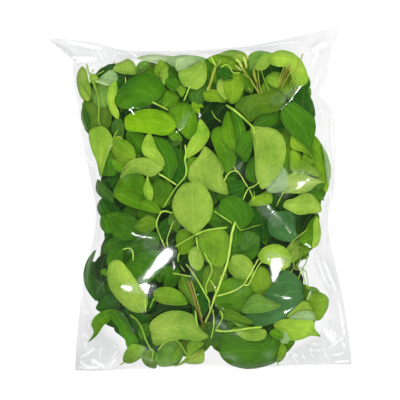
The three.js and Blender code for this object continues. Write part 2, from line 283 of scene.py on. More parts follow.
TONES = {
    # painted glare: a tone whitened as by light thrown back from the film over the leaf
    "painted_glare_frost": (172, 196, 140),
    # partly painted haze: a pale tone whitened as by the film over the leaf
    "mint_with_painted_haze": (138, 167, 110),
    "pale": (132, 164, 56),
    "lime": (141, 178, 52),
    "sunny": (112, 156, 8),
    "bright": (109, 148, 24),
    "fresh": (103, 144, 26),
    "mid": (80, 128, 6),
    "deep": (58, 110, 4),
    "dark": (33, 86, 1),
    # painted reflection: a dark tone turned bluish and grey as by the film's haze over the leaf
    "painted_glare_teal": (60, 106, 52),
    # painted haze: a tone greyed as by the film's haze over the leaf
    "haze": (100, 142, 52),
    "gloom": (58, 101, 26),
    "olive": (82, 118, 20),
    # painted shade: near black, for leaves deep in the gaps
    "painted_shade_murk": (16, 52, 3),
    "shoot": (196, 225, 96),
    "stalk": (172, 212, 74),
    "husk": (158, 170, 60),
    "bark": (146, 124, 54),
    "bud": (196, 214, 100),
}


class Leaf(NamedTuple):
    """A blade in plan: its tone, where its stalk joins, its point, and the points that each edge passes, from
    stalk to point, seen with the point ahead."""

    tone: str
    base: tuple
    tip: tuple
    left: list
    right: list


# The leaves that show, from the lowest in each place to the highest.
SHOWN_LEAVES = [
    # in the shade, top
    Leaf("olive", (-102, 64), (-109, 100), [(-115, 72), (-119, 88)], [(-90, 72), (-88, 87), (-96, 98)]),
    Leaf("dark", (-110, 67), (-117, 97), [(-116, 82)], [(-109, 80)]),
    Leaf("gloom", (-78, 61), (-83, 82), [(-87, 67), (-88, 75)], [(-75, 69), (-77, 78)]),
    Leaf("painted_glare_frost", (-64, 142), (-23, 143), [(-51, 146), (-36, 145)], [(-50, 138), (-35, 137)]),
    Leaf("haze", (-63, 123), (-52, 138), [(-65, 130), (-60, 138)], [(-58, 126), (-53, 132)]),
    Leaf("deep", (-19, 116), (-35, 137), [(-34, 119), (-37, 127)], [(-21, 126), (-28, 134)]),
    Leaf("mint_with_painted_haze", (-35, 138), (5, 140), [(-23, 144), (-9, 144)], [(-23, 131), (-9, 130)]),
    Leaf("gloom", (-4, 92), (3, 115), [(-11, 99), (-11, 109)], [(3, 97), (7, 105)]),
    Leaf("bright", (39, 129), (7, 140), [(29, 130), (16, 132)], [(35, 140), (25, 146), (14, 144)]),
    Leaf("pale", (48, 138), (18, 144), [(39, 137), (29, 142)], [(43, 146), (33, 149), (25, 148)]),
    Leaf("haze", (71, 144), (47, 142), [(61, 133), (49, 128)], [(61, 148), (53, 147)]),
    Leaf("mid", (50, 105), (39, 126), [(40, 113)], [(52, 114), (47, 123)]),
    Leaf("fresh", (60, 99), (90, 123), [(61, 115), (73, 127)], [(78, 101), (92, 111)]),
    Leaf("lime", (94, 107), (104, 126), [(92, 115), (96, 123)], [(106, 110), (109, 118)]),
    # in the shade, middle and lower
    Leaf("gloom", (-32, 51), (-22, 65), [(-34, 59)], [(-22, 54), (-18, 61)]),
    Leaf("mid", (-32, 65), (-18, 59), [(-24, 69)], [(-28, 59)]),
    Leaf("dark", (-13, 14), (-30, 53), [(-28, 18), (-36, 38)], [(-7, 28), (-14, 46)]),
    Leaf("deep", (-32, 18), (-46, 63), [(-39, 32), (-48, 48), (-49, 58)],
         [(-23, 34), (-27, 50), (-35, 60)]),
    Leaf("deep", (-48, 38), (-73, 68), [(-62, 42), (-72, 54)], [(-48, 51), (-56, 65), (-65, 71)]),
    Leaf("deep", (-76, -21), (-66, -3), [(-78, -11)], [(-62, -17), (-58, -7)]),
    Leaf("deep", (-98, 20), (-88, 2), [(-92, 14)], [(-102, 10), (-96, 1)]),
    Leaf("gloom", (-86, -2), (-102, 21), [(-96, 1), (-104, 10)], [(-88, 8), (-95, 15)]),
    Leaf("dark", (-80, -21), (-98, 2), [(-96, -18), (-103, -8)], [(-78, -11), (-88, -2)]),
    Leaf("dark", (-90, -19), (-101, -4), [(-100, -14)], [(-91, -10)]),
    Leaf("painted_shade_murk", (35, 14), (56, 48), [(41, 34), (48, 46)], [(48, 16), (60, 34)]),
    Leaf("dark", (70, 69), (82, 99), [(70, 87), (75, 97)], [(86, 74), (90, 91)]),
    Leaf("mid", (88, 10), (82, 71), [(79, 30), (78, 55)], [(96, 28), (94, 55)]),
    Leaf("deep", (50, 72), (78, 87), [(60, 86), (70, 90)], [(60, 71), (74, 75)]),
    Leaf("painted_shade_murk", (82, 0), (98, 8), [(88, 12)], [(90, 0)]),
    Leaf("deep", (106, 8), (122, 3), [(112, 16), (124, 16)], [(112, 1)]),
    Leaf("deep", (98, 7), (122, 0), [(108, 10), (116, 8)], [(110, 3)]),
    Leaf("dark", (44, 14), (25, 8), [(41, 2), (32, 1)], [(39, 20), (30, 18)]),
    Leaf("deep", (33, -29), (7, -21), [(21, -31)], [(25, -13), (13, -8)]),
    Leaf("dark", (60, -39), (50, 0), [(44, -31), (44, -11)], [(78, -31), (74, -9)]),
    Leaf("dark", (70, -5), (70, 12), [(65, 4)], [(76, 2)]),
    Leaf("painted_glare_teal", (90, -41), (74, -11), [(70, -35), (66, -21)], [(100, -29), (94, -12)]),
    Leaf("painted_shade_murk", (98, -35), (112, -12), [(94, -23), (100, -13)], [(110, -29)]),
    Leaf("deep", (31, -49), (58, -39), [(37, -35), (48, -31)], [(39, -61), (54, -55)]),
    Leaf("gloom", (41, -49), (52, -31), [(37, -39), (42, -31)], [(54, -45), (58, -37)]),
    Leaf("deep", (32, -46), (35, -24), [(28, -35)], [(41, -39), (39, -29)]),
    Leaf("mid", (-24, -31), (-26, -8), [(-32, -21)], [(-19, -21)]),
    Leaf("deep", (-96, -51), (-40, -35), [(-88, -37), (-64, -28)], [(-76, -63), (-50, -57)]),
    Leaf("deep", (-92, -13), (-60, -35), [(-74, -13), (-60, -21)], [(-92, -27), (-78, -39)]),
    Leaf("deep", (-91, -33), (-98, -15), [(-99, -26)], [(-87, -25), (-90, -16)]),
    Leaf("deep", (-43, -15), (-60, -21), [(-50, -21)], [(-52, -8), (-61, -11)]),
    Leaf("dark", (-90, -105), (-108, -61), [(-102, -99), (-110, -83)], [(-86, -90), (-92, -67)]),
    Leaf("dark", (-103, -100), (-104, -49), [(-114, -87), (-117, -74), (-113, -59)],
         [(-106, -85), (-109, -69)]),
    Leaf("painted_shade_murk", (-98, -83), (-92, -53), [(-106, -71), (-102, -57)], [(-91, -71)]),
    Leaf("dark", (-104, -107), (-82, -98), [(-96, -95), (-86, -94)], [(-94, -111), (-82, -106)]),
    Leaf("mid", (-92, -74), (-99, -70), [(-97, -73)], [(-94, -67)]),
    Leaf("deep", (-91, -65), (-76, -48), [(-92, -55), (-84, -48)], [(-79, -63)]),
    Leaf("dark", (-5, -120), (3, -80), [(-8, -102)], [(8, -106), (7, -90)]),
    Leaf("olive", (5, -90), (15, -60), [(2, -78), (5, -66)], [(23, -84), (25, -68)]),
    Leaf("olive", (-5, -104), (-19, -73), [(-16, -96), (-22, -85)], [(-6, -88), (-12, -77)]),
    Leaf("deep", (23, -134), (35, -116), [(19, -124)], [(33, -131), (39, -124)]),
    Leaf("gloom", (9, -144), (21, -116), [(3, -130)], [(21, -136), (25, -126)]),
    Leaf("dark", (-50, -144), (-74, -106), [(-64, -138), (-78, -120)], [(-48, -128), (-58, -110)]),
    Leaf("painted_shade_murk", (-50, -116), (-9, -104), [(-40, -100), (-22, -98)], [(-34, -116), (-18, -114)]),
    Leaf("painted_shade_murk", (63, -132), (74, -120), [(60, -125)], [(74, -129)]),
    # lower left and middle
    Leaf("olive", (-42, -21), (-65, -25), [(-48, -30), (-58, -31)], [(-52, -15)]),
    Leaf("deep", (-74, -62), (-46, -78), [(-60, -51), (-42, -49), (-34, -60)], [(-70, -74), (-60, -83)]),
    Leaf("fresh", (-47, -93), (-13, -102), [(-42, -86), (-30, -85), (-19, -91)],
         [(-42, -100), (-28, -103)]),
    Leaf("sunny", (-6, -35), (-20, -53), [(-7, -46), (-13, -52)], [(-16, -28), (-24, -33), (-23, -46)]),
    Leaf("fresh", (10, -63), (7, -28), [(2, -57), (-4, -46), (-3, -34)],
         [(20, -66), (26, -57), (29, -41), (23, -29)]),
    Leaf("mid", (13, -101), (54, -76), [(15, -86), (27, -77), (42, -73)],
         [(23, -110), (41, -110), (56, -94)]),
    Leaf("bright", (52, -72), (29, -58), [(46, -76), (35, -77), (27, -68)], [(49, -59), (40, -53)]),
    Leaf("pale", (50, -74), (30, -56), [(43, -77), (32, -74)], [(52, -64), (46, -56), (38, -53)]),
    Leaf("fresh", (66, -96), (59, -65), [(54, -92), (49, -81), (52, -71)],
         [(71, -88), (69, -77), (65, -68)]),
    Leaf("fresh", (47, -5), (68, 11), [(50, 2), (59, 6)], [(59, -5), (70, -2)]),
    # lower right
    Leaf("bright", (104, -100), (127, -105), [(108, -91), (119, -91), (127, -97)],
         [(108, -116), (118, -119), (124, -111)]),
    Leaf("haze", (107, -86), (118, -90), [(113, -86)], [(111, -91)]),
    Leaf("painted_glare_teal", (102, -90), (41, -114), [(100, -101), (89, -113), (72, -121), (54, -124)],
         [(98, -78), (84, -68), (73, -79), (60, -96)]),
    Leaf("pale", (85, -116), (111, -113), [(93, -106), (102, -99), (109, -106)], [(98, -119)]),
    Leaf("mint_with_painted_haze", (87, -116), (113, -118), [(96, -110), (110, -110)], [(100, -119)]),
    Leaf("lime", (72, -122), (119, -135), [(82, -117), (98, -118), (111, -119), (113, -127)],
         [(76, -129), (86, -138), (98, -138), (109, -134)]),
    Leaf("haze", (40, -110), (79, -103), [(46, -98), (55, -92), (66, -97)],
         [(52, -111), (64, -110), (73, -107)]),
    Leaf("pale", (97, -39), (88, -62), [(100, -47), (97, -57)], [(86, -45), (85, -55)]),
    Leaf("fresh", (98, -41), (108, -48), [(105, -42)], [(98, -50), (104, -54)]),
    Leaf("mid", (97, -40), (114, -16), [(103, -29), (108, -20)], [(109, -47), (118, -40), (118, -27)]),
    Leaf("lime", (110, -46), (115, -16), [(111, -34), (111, -23)], [(116, -44), (119, -31)]),
    Leaf("lime", (82, -69), (60, -61), [(74, -68), (66, -63)],
         [(89, -60), (86, -49), (75, -43), (62, -46), (56, -55)]),
    Leaf("pale", (81, -68), (79, -56), [(77, -63)], [(88, -64), (86, -57)]),
    # bottom
    Leaf("mid", (-77, -110), (-112, -141), [(-86, -116), (-96, -124), (-103, -134)],
         [(-92, -108), (-104, -114), (-109, -123), (-106, -131)]),
    Leaf("deep", (-88, -109), (-65, -149),
         [(-78, -111), (-71, -120), (-69, -128), (-64, -134), (-62, -143)],
         [(-87, -119), (-81, -126), (-80, -133), (-75, -137), (-73, -145)]),
    Leaf("fresh", (-77, -160), (-54, -146), [(-76, -152), (-70, -143), (-62, -142)],
         [(-70, -162), (-59, -156)]),
    Leaf("olive", (-50, -147), (-51, -166), [(-43, -152), (-44, -166)], [(-58, -153), (-57, -161)]),
    Leaf("deep", (-62, -131), (-51, -121), [(-59, -123)], [(-58, -138), (-51, -132)]),
    Leaf("haze", (-42, -147), (-24, -164), [(-33, -139), (-21, -140), (-16, -149), (-19, -158)],
         [(-45, -156), (-41, -165), (-33, -166)]),
    Leaf("fresh", (-19, -140), (-30, -164), [(-21, -151)], [(-26, -150)]),
    Leaf("lime", (-27, -166), (3, -142), [(-15, -156), (-14, -144), (-7, -138)], [(-16, -162), (-6, -151)]),
    Leaf("pale", (-15, -162), (3, -148), [(-7, -152)], [(2, -162)]),
    Leaf("pale", (-49, -132), (8, -134), [(-50, -121), (-38, -111), (-23, -108), (-7, -113), (-1, -126)],
         [(-46, -143), (-34, -141), (-20, -137), (-2, -139)]),
    Leaf("olive", (18, -109), (52, -120), [(27, -107), (39, -112)], [(21, -116), (35, -120), (45, -123)]),
    Leaf("deep", (68, -131), (18, -150),
         [(80, -136), (85, -148), (76, -160), (61, -166), (46, -168), (29, -163)],
         [(63, -136), (49, -139), (37, -132), (23, -130)]),
    Leaf("bright", (80, -140), (75, -161), [(85, -148), (82, -157)], [(77, -149)]),
    Leaf("mint_with_painted_haze", (79, -140), (83, -129), [(79, -134)], [(86, -141), (87, -135)]),
    Leaf("mid", (68, -130), (82, -134), [(75, -126)], [(75, -137)]),
    Leaf("haze", (55, -125), (31, -119), [(43, -127)], [(43, -123)]),
    Leaf("pale", (64, -128), (31, -126), [(64, -136), (55, -139), (43, -137), (35, -131)],
         [(51, -125), (39, -125)]),
    # right
    Leaf("sunny", (124, 8), (112, 64), [(115, 22), (110, 42), (108, 54)],
         [(128, 22), (129, 34), (124, 48), (118, 58)]),
    Leaf("mint_with_painted_haze", (126, 16), (120, 54), [(123, 30), (122, 42)], [(129, 28), (126, 44)]),
    Leaf("bright", (117, 24), (91, 51), [(105, 26), (90, 27), (88, 40)], [(100, 52), (108, 45), (114, 34)]),
    Leaf("bright", (89, 63), (112, 42), [(95, 64), (102, 58), (108, 51)], [(89, 52), (99, 48), (106, 45)]),
    Leaf("dark", (101, 80), (105, 123), [(89, 96), (96, 107), (101, 116)],
         [(113, 82), (112, 95), (106, 108), (109, 115)]),
    Leaf("deep", (81, 91), (108, 50), [(90, 97), (102, 90), (113, 78), (112, 62)],
         [(78, 84), (82, 73), (91, 63), (100, 56)]),
    Leaf("deep", (116, 10), (116, 22), [(111, 16)], [(123, 15)]),
    Leaf("pale", (78, 8), (123, 18), [(78, 20), (88, 26), (99, 28), (109, 23)],
         [(86, 7), (99, 7), (108, 10), (115, 16)]),
    Leaf("mint_with_painted_haze", (66, 8), (80, 34), [(64, 20), (70, 30)], [(82, 10), (86, 24)]),
    Leaf("pale", (119, -11), (81, -6), [(107, -13), (96, -14), (87, -10)],
         [(117, -2), (109, 6), (101, 7), (92, 2), (84, 0)]),
    # top right
    Leaf("olive", (49, 77), (82, 105), [(42, 84), (33, 93), (38, 100), (49, 104), (62, 106), (73, 111)],
         [(58, 84), (68, 86), (78, 89), (84, 98)]),
    Leaf("lime", (77, 112), (64, 120), [(71, 112)], [(80, 120), (75, 127), (68, 125)]),
    Leaf("lime", (65, 138), (100, 112), [(75, 148), (89, 147), (99, 139), (105, 126), (106, 118)],
         [(74, 132), (85, 131), (89, 123), (94, 113)]),
    Leaf("pale", (53, 130), (69, 145), [(56, 138), (62, 144)], [(61, 128), (68, 134)]),
    # top left
    Leaf("haze", (-94, 92), (-103, 118), [(-104, 95), (-108, 107)], [(-90, 100), (-89, 112)]),
    Leaf("pale", (-110, 99), (-118, 133), [(-118, 101), (-123, 114), (-123, 125)],
         [(-108, 107), (-111, 120), (-113, 129)]),
    Leaf("pale", (-111, 98), (-120, 114), [(-117, 102)], [(-112, 105)]),
    Leaf("pale", (-110, 123), (-100, 117), [(-104, 125)], [(-108, 116)]),
    Leaf("mint_with_painted_haze", (-101, 119), (-82, 119), [(-94, 126), (-88, 129), (-83, 125)], [(-94, 115), (-87, 114)]),
    Leaf("painted_glare_frost", (-104, 118), (-88, 113), [(-96, 117)], [(-96, 114)]),
    Leaf("pale", (-87, 129), (-64, 125), [(-84, 136), (-79, 138), (-72, 141), (-65, 135)],
         [(-80, 126), (-72, 125)]),
    Leaf("bright", (-36, 115), (-39, 139), [(-42, 121), (-46, 127), (-43, 136)], [(-34, 124), (-32, 133)]),
    Leaf("pale", (-36, 114), (-34, 132), [(-40, 123), (-38, 129)], [(-32, 123)]),
    Leaf("deep", (-44, 95), (-36, 114), [(-45, 105), (-41, 111)], [(-39, 94), (-33, 104)]),
    Leaf("mid", (-37, 92), (-27, 109), [(-36, 103), (-32, 109)], [(-27, 92), (-21, 101)]),
    Leaf("deep", (-18, 113), (-35, 119), [(-26, 107), (-33, 112)], [(-22, 118), (-29, 121)]),
    Leaf("fresh", (-13, 113), (-24, 110), [(-18, 102), (-22, 106)], [(-16, 115), (-20, 113)]),
    Leaf("deep", (-48, 95), (-86, 101), [(-57, 90), (-70, 90), (-81, 92)],
         [(-38, 104), (-37, 116), (-47, 125), (-60, 125), (-73, 119), (-82, 110)]),
    Leaf("lime", (-82, 80), (-84, 118), [(-89, 88), (-92, 101), (-90, 112)],
         [(-80, 86), (-85, 98), (-82, 108)]),
    Leaf("mint_with_painted_haze", (-22, 127), (2, 139), [(-25, 131), (-24, 139), (-11, 142)], [(-15, 128), (-5, 132)]),
    Leaf("pale", (-11, 111), (2, 138), [(-17, 113), (-21, 120), (-22, 127), (-13, 130), (-4, 135)],
         [(-4, 109), (3, 114), (6, 122), (6, 131), (5, 136)]),
    Leaf("sunny", (-1, 85), (-8, 97), [(-8, 90)], [(-1, 96), (3, 91)]),
    Leaf("bright", (25, 97), (2, 105), [(15, 97), (5, 98)], [(23, 107), (15, 109), (7, 109)]),
    Leaf("pale", (25, 99), (20, 121), [(17, 107), (16, 114)], [(27, 105), (25, 115)]),
    Leaf("bright", (30, 95), (40, 125), [(25, 102), (22, 112), (25, 121), (32, 125)],
         [(37, 98), (42, 109), (42, 120)]),
    Leaf("dark", (16, 127), (32, 121), [(21, 132), (29, 129)], [(21, 120), (28, 119)]),
    # middle left
    Leaf("lime", (-89, 51), (-77, 62), [(-90, 58), (-84, 63)], [(-82, 54)]),
    Leaf("lime", (-90, 50), (-77, 62), [(-86, 57)], [(-83, 55)]),
    Leaf("fresh", (-64, 41), (-90, 50), [(-72, 33), (-81, 35), (-87, 42)],
         [(-66, 52), (-74, 59), (-80, 60)]),
    Leaf("deep", (-90, 24), (-90, 50), [(-98, 26), (-95, 38)], [(-83, 26), (-85, 37)]),
    Leaf("mid", (-88, 41), (-75, 29), [(-81, 38), (-76, 34)], [(-86, 34), (-81, 28)]),
    Leaf("lime", (-102, 73), (-99, 23), [(-96, 73), (-89, 66), (-87, 57), (-93, 40)],
         [(-109, 70), (-111, 63), (-108, 50), (-103, 38)]),
    Leaf("lime", (-36, 34), (-51, 66), [(-47, 38), (-56, 45), (-58, 52), (-55, 61)],
         [(-37, 42), (-43, 51), (-47, 62)]),
    Leaf("mid", (-38, -7), (-40, 21), [(-47, -3), (-49, 8), (-47, 16)], [(-30, -3), (-26, 8), (-30, 17)]),
    Leaf("mid", (-48, -10), (-78, 24), [(-65, -7), (-80, 0), (-87, 6), (-83, 16)],
         [(-52, 4), (-53, 15), (-58, 26), (-69, 28)]),
    Leaf("mid", (-50, -10), (-86, 6), [(-63, -8), (-78, -2)], [(-59, 1), (-72, 10), (-82, 13)]),
    Leaf("pale", (-39, 29), (-79, 22), [(-48, 23), (-55, 25), (-62, 27), (-71, 26)],
         [(-37, 34), (-47, 39), (-57, 42), (-67, 40), (-74, 34), (-78, 27)]),
    Leaf("lime", (-50, -1), (-52, 24), [(-55, 4), (-56, 13), (-54, 19)], [(-47, 3), (-47, 11), (-50, 18)]),
    Leaf("mid", (-38, -12), (-60, -2), [(-48, -12), (-57, -8)], [(-44, -3), (-52, 1)]),
    # middle
    Leaf("mid", (-19, 66), (-15, 97), [(-26, 74), (-32, 84), (-28, 94)],
         [(-11, 60), (-3, 71), (-4, 83), (-9, 93)]),
    Leaf("sunny", (-24, 73), (-75, 77), [(-33, 64), (-47, 65), (-60, 67), (-73, 69)],
         [(-31, 84), (-42, 89), (-53, 90), (-66, 87), (-74, 82)]),
    Leaf("mid", (-1, 14), (-11, 42), [(-12, 20), (-14, 32)], [(5, 24), (1, 40)]),
    Leaf("lime", (-15, 41), (-1, 80), [(-14, 50), (-10, 60), (-4, 68)],
         [(-6, 45), (3, 53), (9, 65), (5, 74)]),
    Leaf("pale", (21, 7), (4, 53), [(11, 9), (1, 13), (-11, 18), (-11, 32), (-2, 43)],
         [(27, 5), (25, 16), (21, 23), (23, 32), (13, 46)]),
    Leaf("mid", (25, 27), (15, 72), [(18, 40), (13, 53), (10, 64)],
         [(33, 34), (35, 45), (29, 58), (23, 71)]),
    Leaf("mid", (34, 49), (27, 88), [(25, 55), (20, 63), (22, 78)], [(38, 57), (35, 73)]),
    Leaf("deep", (34, 49), (29, 88), [(35, 61), (33, 77)], [(42, 57), (44, 68), (40, 80), (34, 86)]),
    Leaf("deep", (34, 49), (50, 67), [(39, 60), (44, 67)], [(39, 42), (44, 37), (50, 49)]),
    Leaf("deep", (52, 17), (53, 44), [(44, 23), (46, 36)], [(58, 22), (57, 34)]),
    Leaf("pale", (49, 72), (60, 11), [(62, 72), (73, 70), (82, 61), (84, 47), (79, 30), (70, 18)],
         [(51, 59), (53, 42), (54, 24)]),
    Leaf("deep", (39, -28), (22, 3), [(27, -21), (18, -9)], [(47, -23), (52, -12), (46, -3), (35, 4)]),
    Leaf("pale", (-6, -33), (-8, 18), [(-14, -28), (-23, -19), (-28, -6), (-25, 6), (-17, 16)],
         [(2, -27), (10, -17), (12, -4), (8, 8), (0, 17)]),
    Leaf("pale", (-4, -45), (-2, -69), [(1, -52), (3, -61)], [(-11, -49), (-12, -57), (-9, -65)]),
    Leaf("pale", (-79, -59), (-57, -110), [(-70, -69), (-62, -80), (-54, -90), (-52, -101)],
         [(-88, -60), (-92, -69), (-91, -83), (-83, -96), (-70, -108)]),
]

BLADE_WIDTHS = ((0.1, 0.7), (0.4, 1.0), (0.78, 0.72))  # places along a plain blade, and its half width there


def plain_leaf(tone, base, tip, wide):
    """A blade that is alike on both sides."""
    run = tip - base
    side = np.array([-run[1], run[0]]) / np.hypot(*run) * wide / 2
    left = [base + run * u + side * share for u, share in BLADE_WIDTHS]
    right = [base + run * u - side * share for u, share in BLADE_WIDTHS]
    return Leaf(tone, base, tip, left, right)


def open_curve(points, count, before=None, beyond=None):
    """Points of an open Catmull-Rom curve. Points before and beyond it can set its course at its ends."""
    points = np.asarray(points, float)
    before = 2 * points[0] - points[1] if before is None else before
    beyond = 2 * points[-1] - points[-2] if beyond is None else beyond
    ends = np.concatenate([[before], points, [beyond]])
    place = np.linspace(0, len(points) - 1, count)
    first = np.minimum(place.astype(int), len(points) - 2)
    t = (place - first)[:, None]
    a, b, c, d = (ends[first + k] for k in range(4))
    return 0.5 * (2 * b + (c - a) * t + (2 * a - 5 * b + 4 * c - d) * t**2 + (3 * b - a - 3 * c + d) * t**3)


CURVE_STEPS = 80
BASE_ROUNDNESS = 0.95  # from 0, where a blade's edges meet in a point, to 1, where they form one curve
TIP_ROUNDNESS = 0.82


def blade_edge(leaf, own, other, shares_of_length):
    """Places on one edge of a blade, by shares of its length."""
    points = np.array([leaf.base, *own, leaf.tip], float)
    before = (2 * points[0] - points[1]) * (1 - BASE_ROUNDNESS) + np.asarray(other[0]) * BASE_ROUNDNESS
    beyond = (2 * points[-1] - points[-2]) * (1 - TIP_ROUNDNESS) + np.asarray(other[-1]) * TIP_ROUNDNESS
    fine = open_curve(points, CURVE_STEPS, before, beyond)
    reach = np.append(0, np.cumsum(np.linalg.norm(np.diff(fine, axis=0), axis=1)))
    return np.column_stack([np.interp(shares_of_length * reach[-1], reach, fine[:, k]) for k in (0, 1)])


def grid_faces(rows, columns):
    """Quads of a sheet of points, and of its underside and rim."""
    top = [
        (r * columns + c, (r + 1) * columns + c, (r + 1) * columns + c + 1, r * columns + c + 1)
        for r in range(rows - 1)
        for c in range(columns - 1)
    ]
    below = rows * columns
    rim = [(0, c) for c in range(columns)]
    rim += [(r, columns - 1) for r in range(1, rows)]
    rim += [(rows - 1, c) for c in range(columns - 2, -1, -1)]
    rim += [(r, 0) for r in range(rows - 2, 0, -1)]
    loop = [r * columns + c for r, c in rim]
    sides = [(a, b, b + below, a + below) for a, b in zip(loop, loop[1:] + loop[:1])]
    return top + [tuple(i + below for i in reversed(face)) for face in top] + sides


# How far a blade of the usual size leaves the flat, in millimetres, as the least and the most of each.
USUAL_HALF_WIDTH = 15
USUAL_LENGTH = 50
CUP = (-3.0, 2.5)
FOLD = (-0.5, 2.5)
WAVE = (0.6, 1.6)
ARCH = (-3.5, 2.0)
TWIST = (-2.5, 2.5)
TILT = (-3, 3)
WAVES = (5, 10)  # radians of edge wave along a blade
TONE_SPREAD = (0.92, 1.08)
# Painted light and shade across a blade, one half lighter than the other as on a fold turned to the light; and
# lighter towards one end, at random.
PAINTED_FOLD_SHADE = (-0.12, 0.12)
LIGHTER_ALONG = (-0.15, 0.15)
BLADE_SPAN = (0.03, 0.985)  # of half a turn, whose cosine brings a blade's rows closer at its ends
YIELDING = 3  # rounds in which points that are pushed up take those beside them along
BLADE_FINENESS = 5  # steps that the height map is given for each one of a blade's own


class Pile:
    """Leaves laid one on another over a surface. Its heights are above the surface's own side: the heap's
    upper side as it is, or its underside turned over."""

    def __init__(self, surface, turned):
        self.surface = surface
        self.turned = turned
        self.height = surface.copy()

    def raise_to(self, x, y, z, fineness):
        """Lets the height map know of a sheet of points."""
        rows, columns = z.shape
        r = np.linspace(0, rows - 1, (rows - 1) * fineness + 1)
        c = np.linspace(0, columns - 1, (columns - 1) * fineness + 1)
        r0 = np.minimum(r.astype(int), rows - 2)
        c0 = np.minimum(c.astype(int), columns - 2)
        fr, fc = (r - r0)[:, None], (c - c0)[None, :]

        def finer(a):
            lower = a[r0][:, c0] * (1 - fc) + a[r0][:, c0 + 1] * fc
            upper = a[r0 + 1][:, c0] * (1 - fc) + a[r0 + 1][:, c0 + 1] * fc
            return lower * (1 - fr) + upper * fr

        column = np.clip(np.rint(finer(x) - GRID_LEFT).astype(int), 0, GRID_WIDTH)
        row = np.clip(np.rint(finer(y) - GRID_BOTTOM).astype(int), 0, GRID_LENGTH)
        np.maximum.at(self.height, (row, column), finer(z))

    def lay(self, shell, leaf, rng, fine, press):
        """Lays one leaf on what is there and adds it to a shell."""
        rows, columns = fine
        u = (1 - np.cos(np.linspace(*BLADE_SPAN, rows) * math.pi)) / 2
        v = np.sin(np.linspace(-0.5, 0.5, columns) * math.pi)
        left = blade_edge(leaf, leaf.left, leaf.right, u)
        right = blade_edge(leaf, leaf.right, leaf.left, u)
        plan = right[:, None] + (left - right)[:, None] * ((v + 1) / 2)[None, :, None]
        x, y = plan[..., 0], plan[..., 1]
        length = math.dist(leaf.base, leaf.tip)
        half = np.linalg.norm(left - right, axis=1) / 2
        uu, vv = np.meshgrid(u, v, indexing="ij")
        size = half.max() / USUAL_HALF_WIDTH
        cup = rng.uniform(*CUP) * size
        fold = rng.uniform(*FOLD) * size
        wave = rng.uniform(*WAVE) * size
        phase = rng.uniform(0, 2 * math.pi)
        waves = rng.uniform(*WAVES)
        shape = cup * vv**2 + fold * np.abs(vv) + wave * vv**2 * np.sin(waves * uu + phase + 1.5 * vv)
        shape += rng.uniform(*ARCH) * (uu - 0.5) ** 2 * 4 * length / USUAL_LENGTH
        shape += rng.uniform(*TWIST) * size * vv * np.sin(math.pi * uu) + rng.uniform(*TILT) * (uu - 0.5)
        rest = sample(self.surface, x, y) + shape
        under = sample(self.height, x, y) + LEAF_GAP
        z = rest + np.percentile(under - rest, press)
        need = np.maximum(under - z, 0)
        push = need
        for _ in range(YIELDING):
            spread = np.pad(push, 1, mode="edge")
            spread = (spread[:-2, 1:-1] + spread[2:, 1:-1] + spread[1:-1, :-2] + spread[1:-1, 2:]) / 4
            push = np.maximum(spread, need)
        z = z + push + LEAF_THICKNESS
        self.raise_to(x, y, z, BLADE_FINENESS)
        top = np.stack([x, y, z], -1)
        under_side = top - [0, 0, LEAF_THICKNESS]
        points = np.concatenate([top.reshape(-1, 3), under_side.reshape(-1, 3)])
        faces = grid_faces(rows, columns)
        if self.turned:
            points[:, 2] *= -1
            faces = [tuple(reversed(face)) for face in faces]
        blade = np.stack([uu, vv, np.repeat(half[:, None], columns, axis=1)], -1).reshape(-1, 3)
        tint = linear(TONES[leaf.tone]) * LIGHT_GAIN * rng.uniform(*TONE_SPREAD)
        # Painted light and shade: one half of the blade lighter than the other, as on a fold turned to the
        # light, and one end lighter than the other.
        light = 1 + rng.uniform(*PAINTED_FOLD_SHADE) * vv + rng.uniform(*LIGHTER_ALONG) * (2 * uu - 1)
        tints = np.column_stack([light.reshape(-1, 1) * tint, np.full(light.size, length / LENGTH_UNIT)])
        shell.add(points, faces, np.tile(blade, (2, 1)), np.tile(tints, (2, 1)))


# Where the floor shows through the heap's edge: the middle of each place, and its radius.
CLEARINGS = [((101, -72), 9), ((12, -160), 9)]
CLEARING_SHARE = 0.4  # of a leaf's length that stays out of them
SCATTERED_WIDTHS = (0.55, 0.95)  # as shares of the leaf's length
MOST_NUDGES = 12
NUDGE = 0.05  # a leaf that sticks out of the heap moves this share of the way to its middle, and again


def scattered(rng, spacing, lowest_share, highest_share, tones, lengths):
    """Leaves all over the heap by a jittered grid, in random order."""
    leaves = []
    for x in np.arange(GRID_LEFT, GRID_LEFT + GRID_WIDTH, spacing):
        for y in np.arange(GRID_BOTTOM, GRID_BOTTOM + GRID_LENGTH, spacing):
            px, py = x + rng.uniform(-0.5, 0.5) * spacing, y + rng.uniform(-0.5, 0.5) * spacing
            share = float(shares(px, py)[0])
            heading, length = rng.uniform(0, 2 * math.pi), rng.uniform(*lengths)
            wide = length * rng.uniform(*SCATTERED_WIDTHS)
            tone = tones[rng.integers(len(tones))]
            if not lowest_share <= share < highest_share:
                continue
            place = np.array([px, py])
            half = np.array([math.cos(heading), math.sin(heading)]) * length / 2
            across = np.array([-half[1], half[0]]) * wide / length
            for _ in range(MOST_NUDGES):
                reach = place + np.array([half, -half, across, -across])
                if shares(reach[:, 0], reach[:, 1])[0].max() < highest_share:
                    break
                place = place + (HEAP_CENTRE - place) * NUDGE
            room = length * CLEARING_SHARE
            if any(math.dist(place, middle) < radius + room for middle, radius in CLEARINGS):
                continue
            leaves.append(plain_leaf(tone, place - half, place + half, wide))
    order = rng.permutation(len(leaves))
    return [leaves[i] for i in order]


INNER_BAND = 0.12  # the last share of the way to the rim, over which the two piles come together
UPPER_ROOM = 22.0  # for the leaves of the shown side, under the heap's surface
LOWER_ROOM = 13.0
LOWER_LIFT = 4.2  # keeps the lowest leaves off the floor
MARGIN_GAP = 0.6


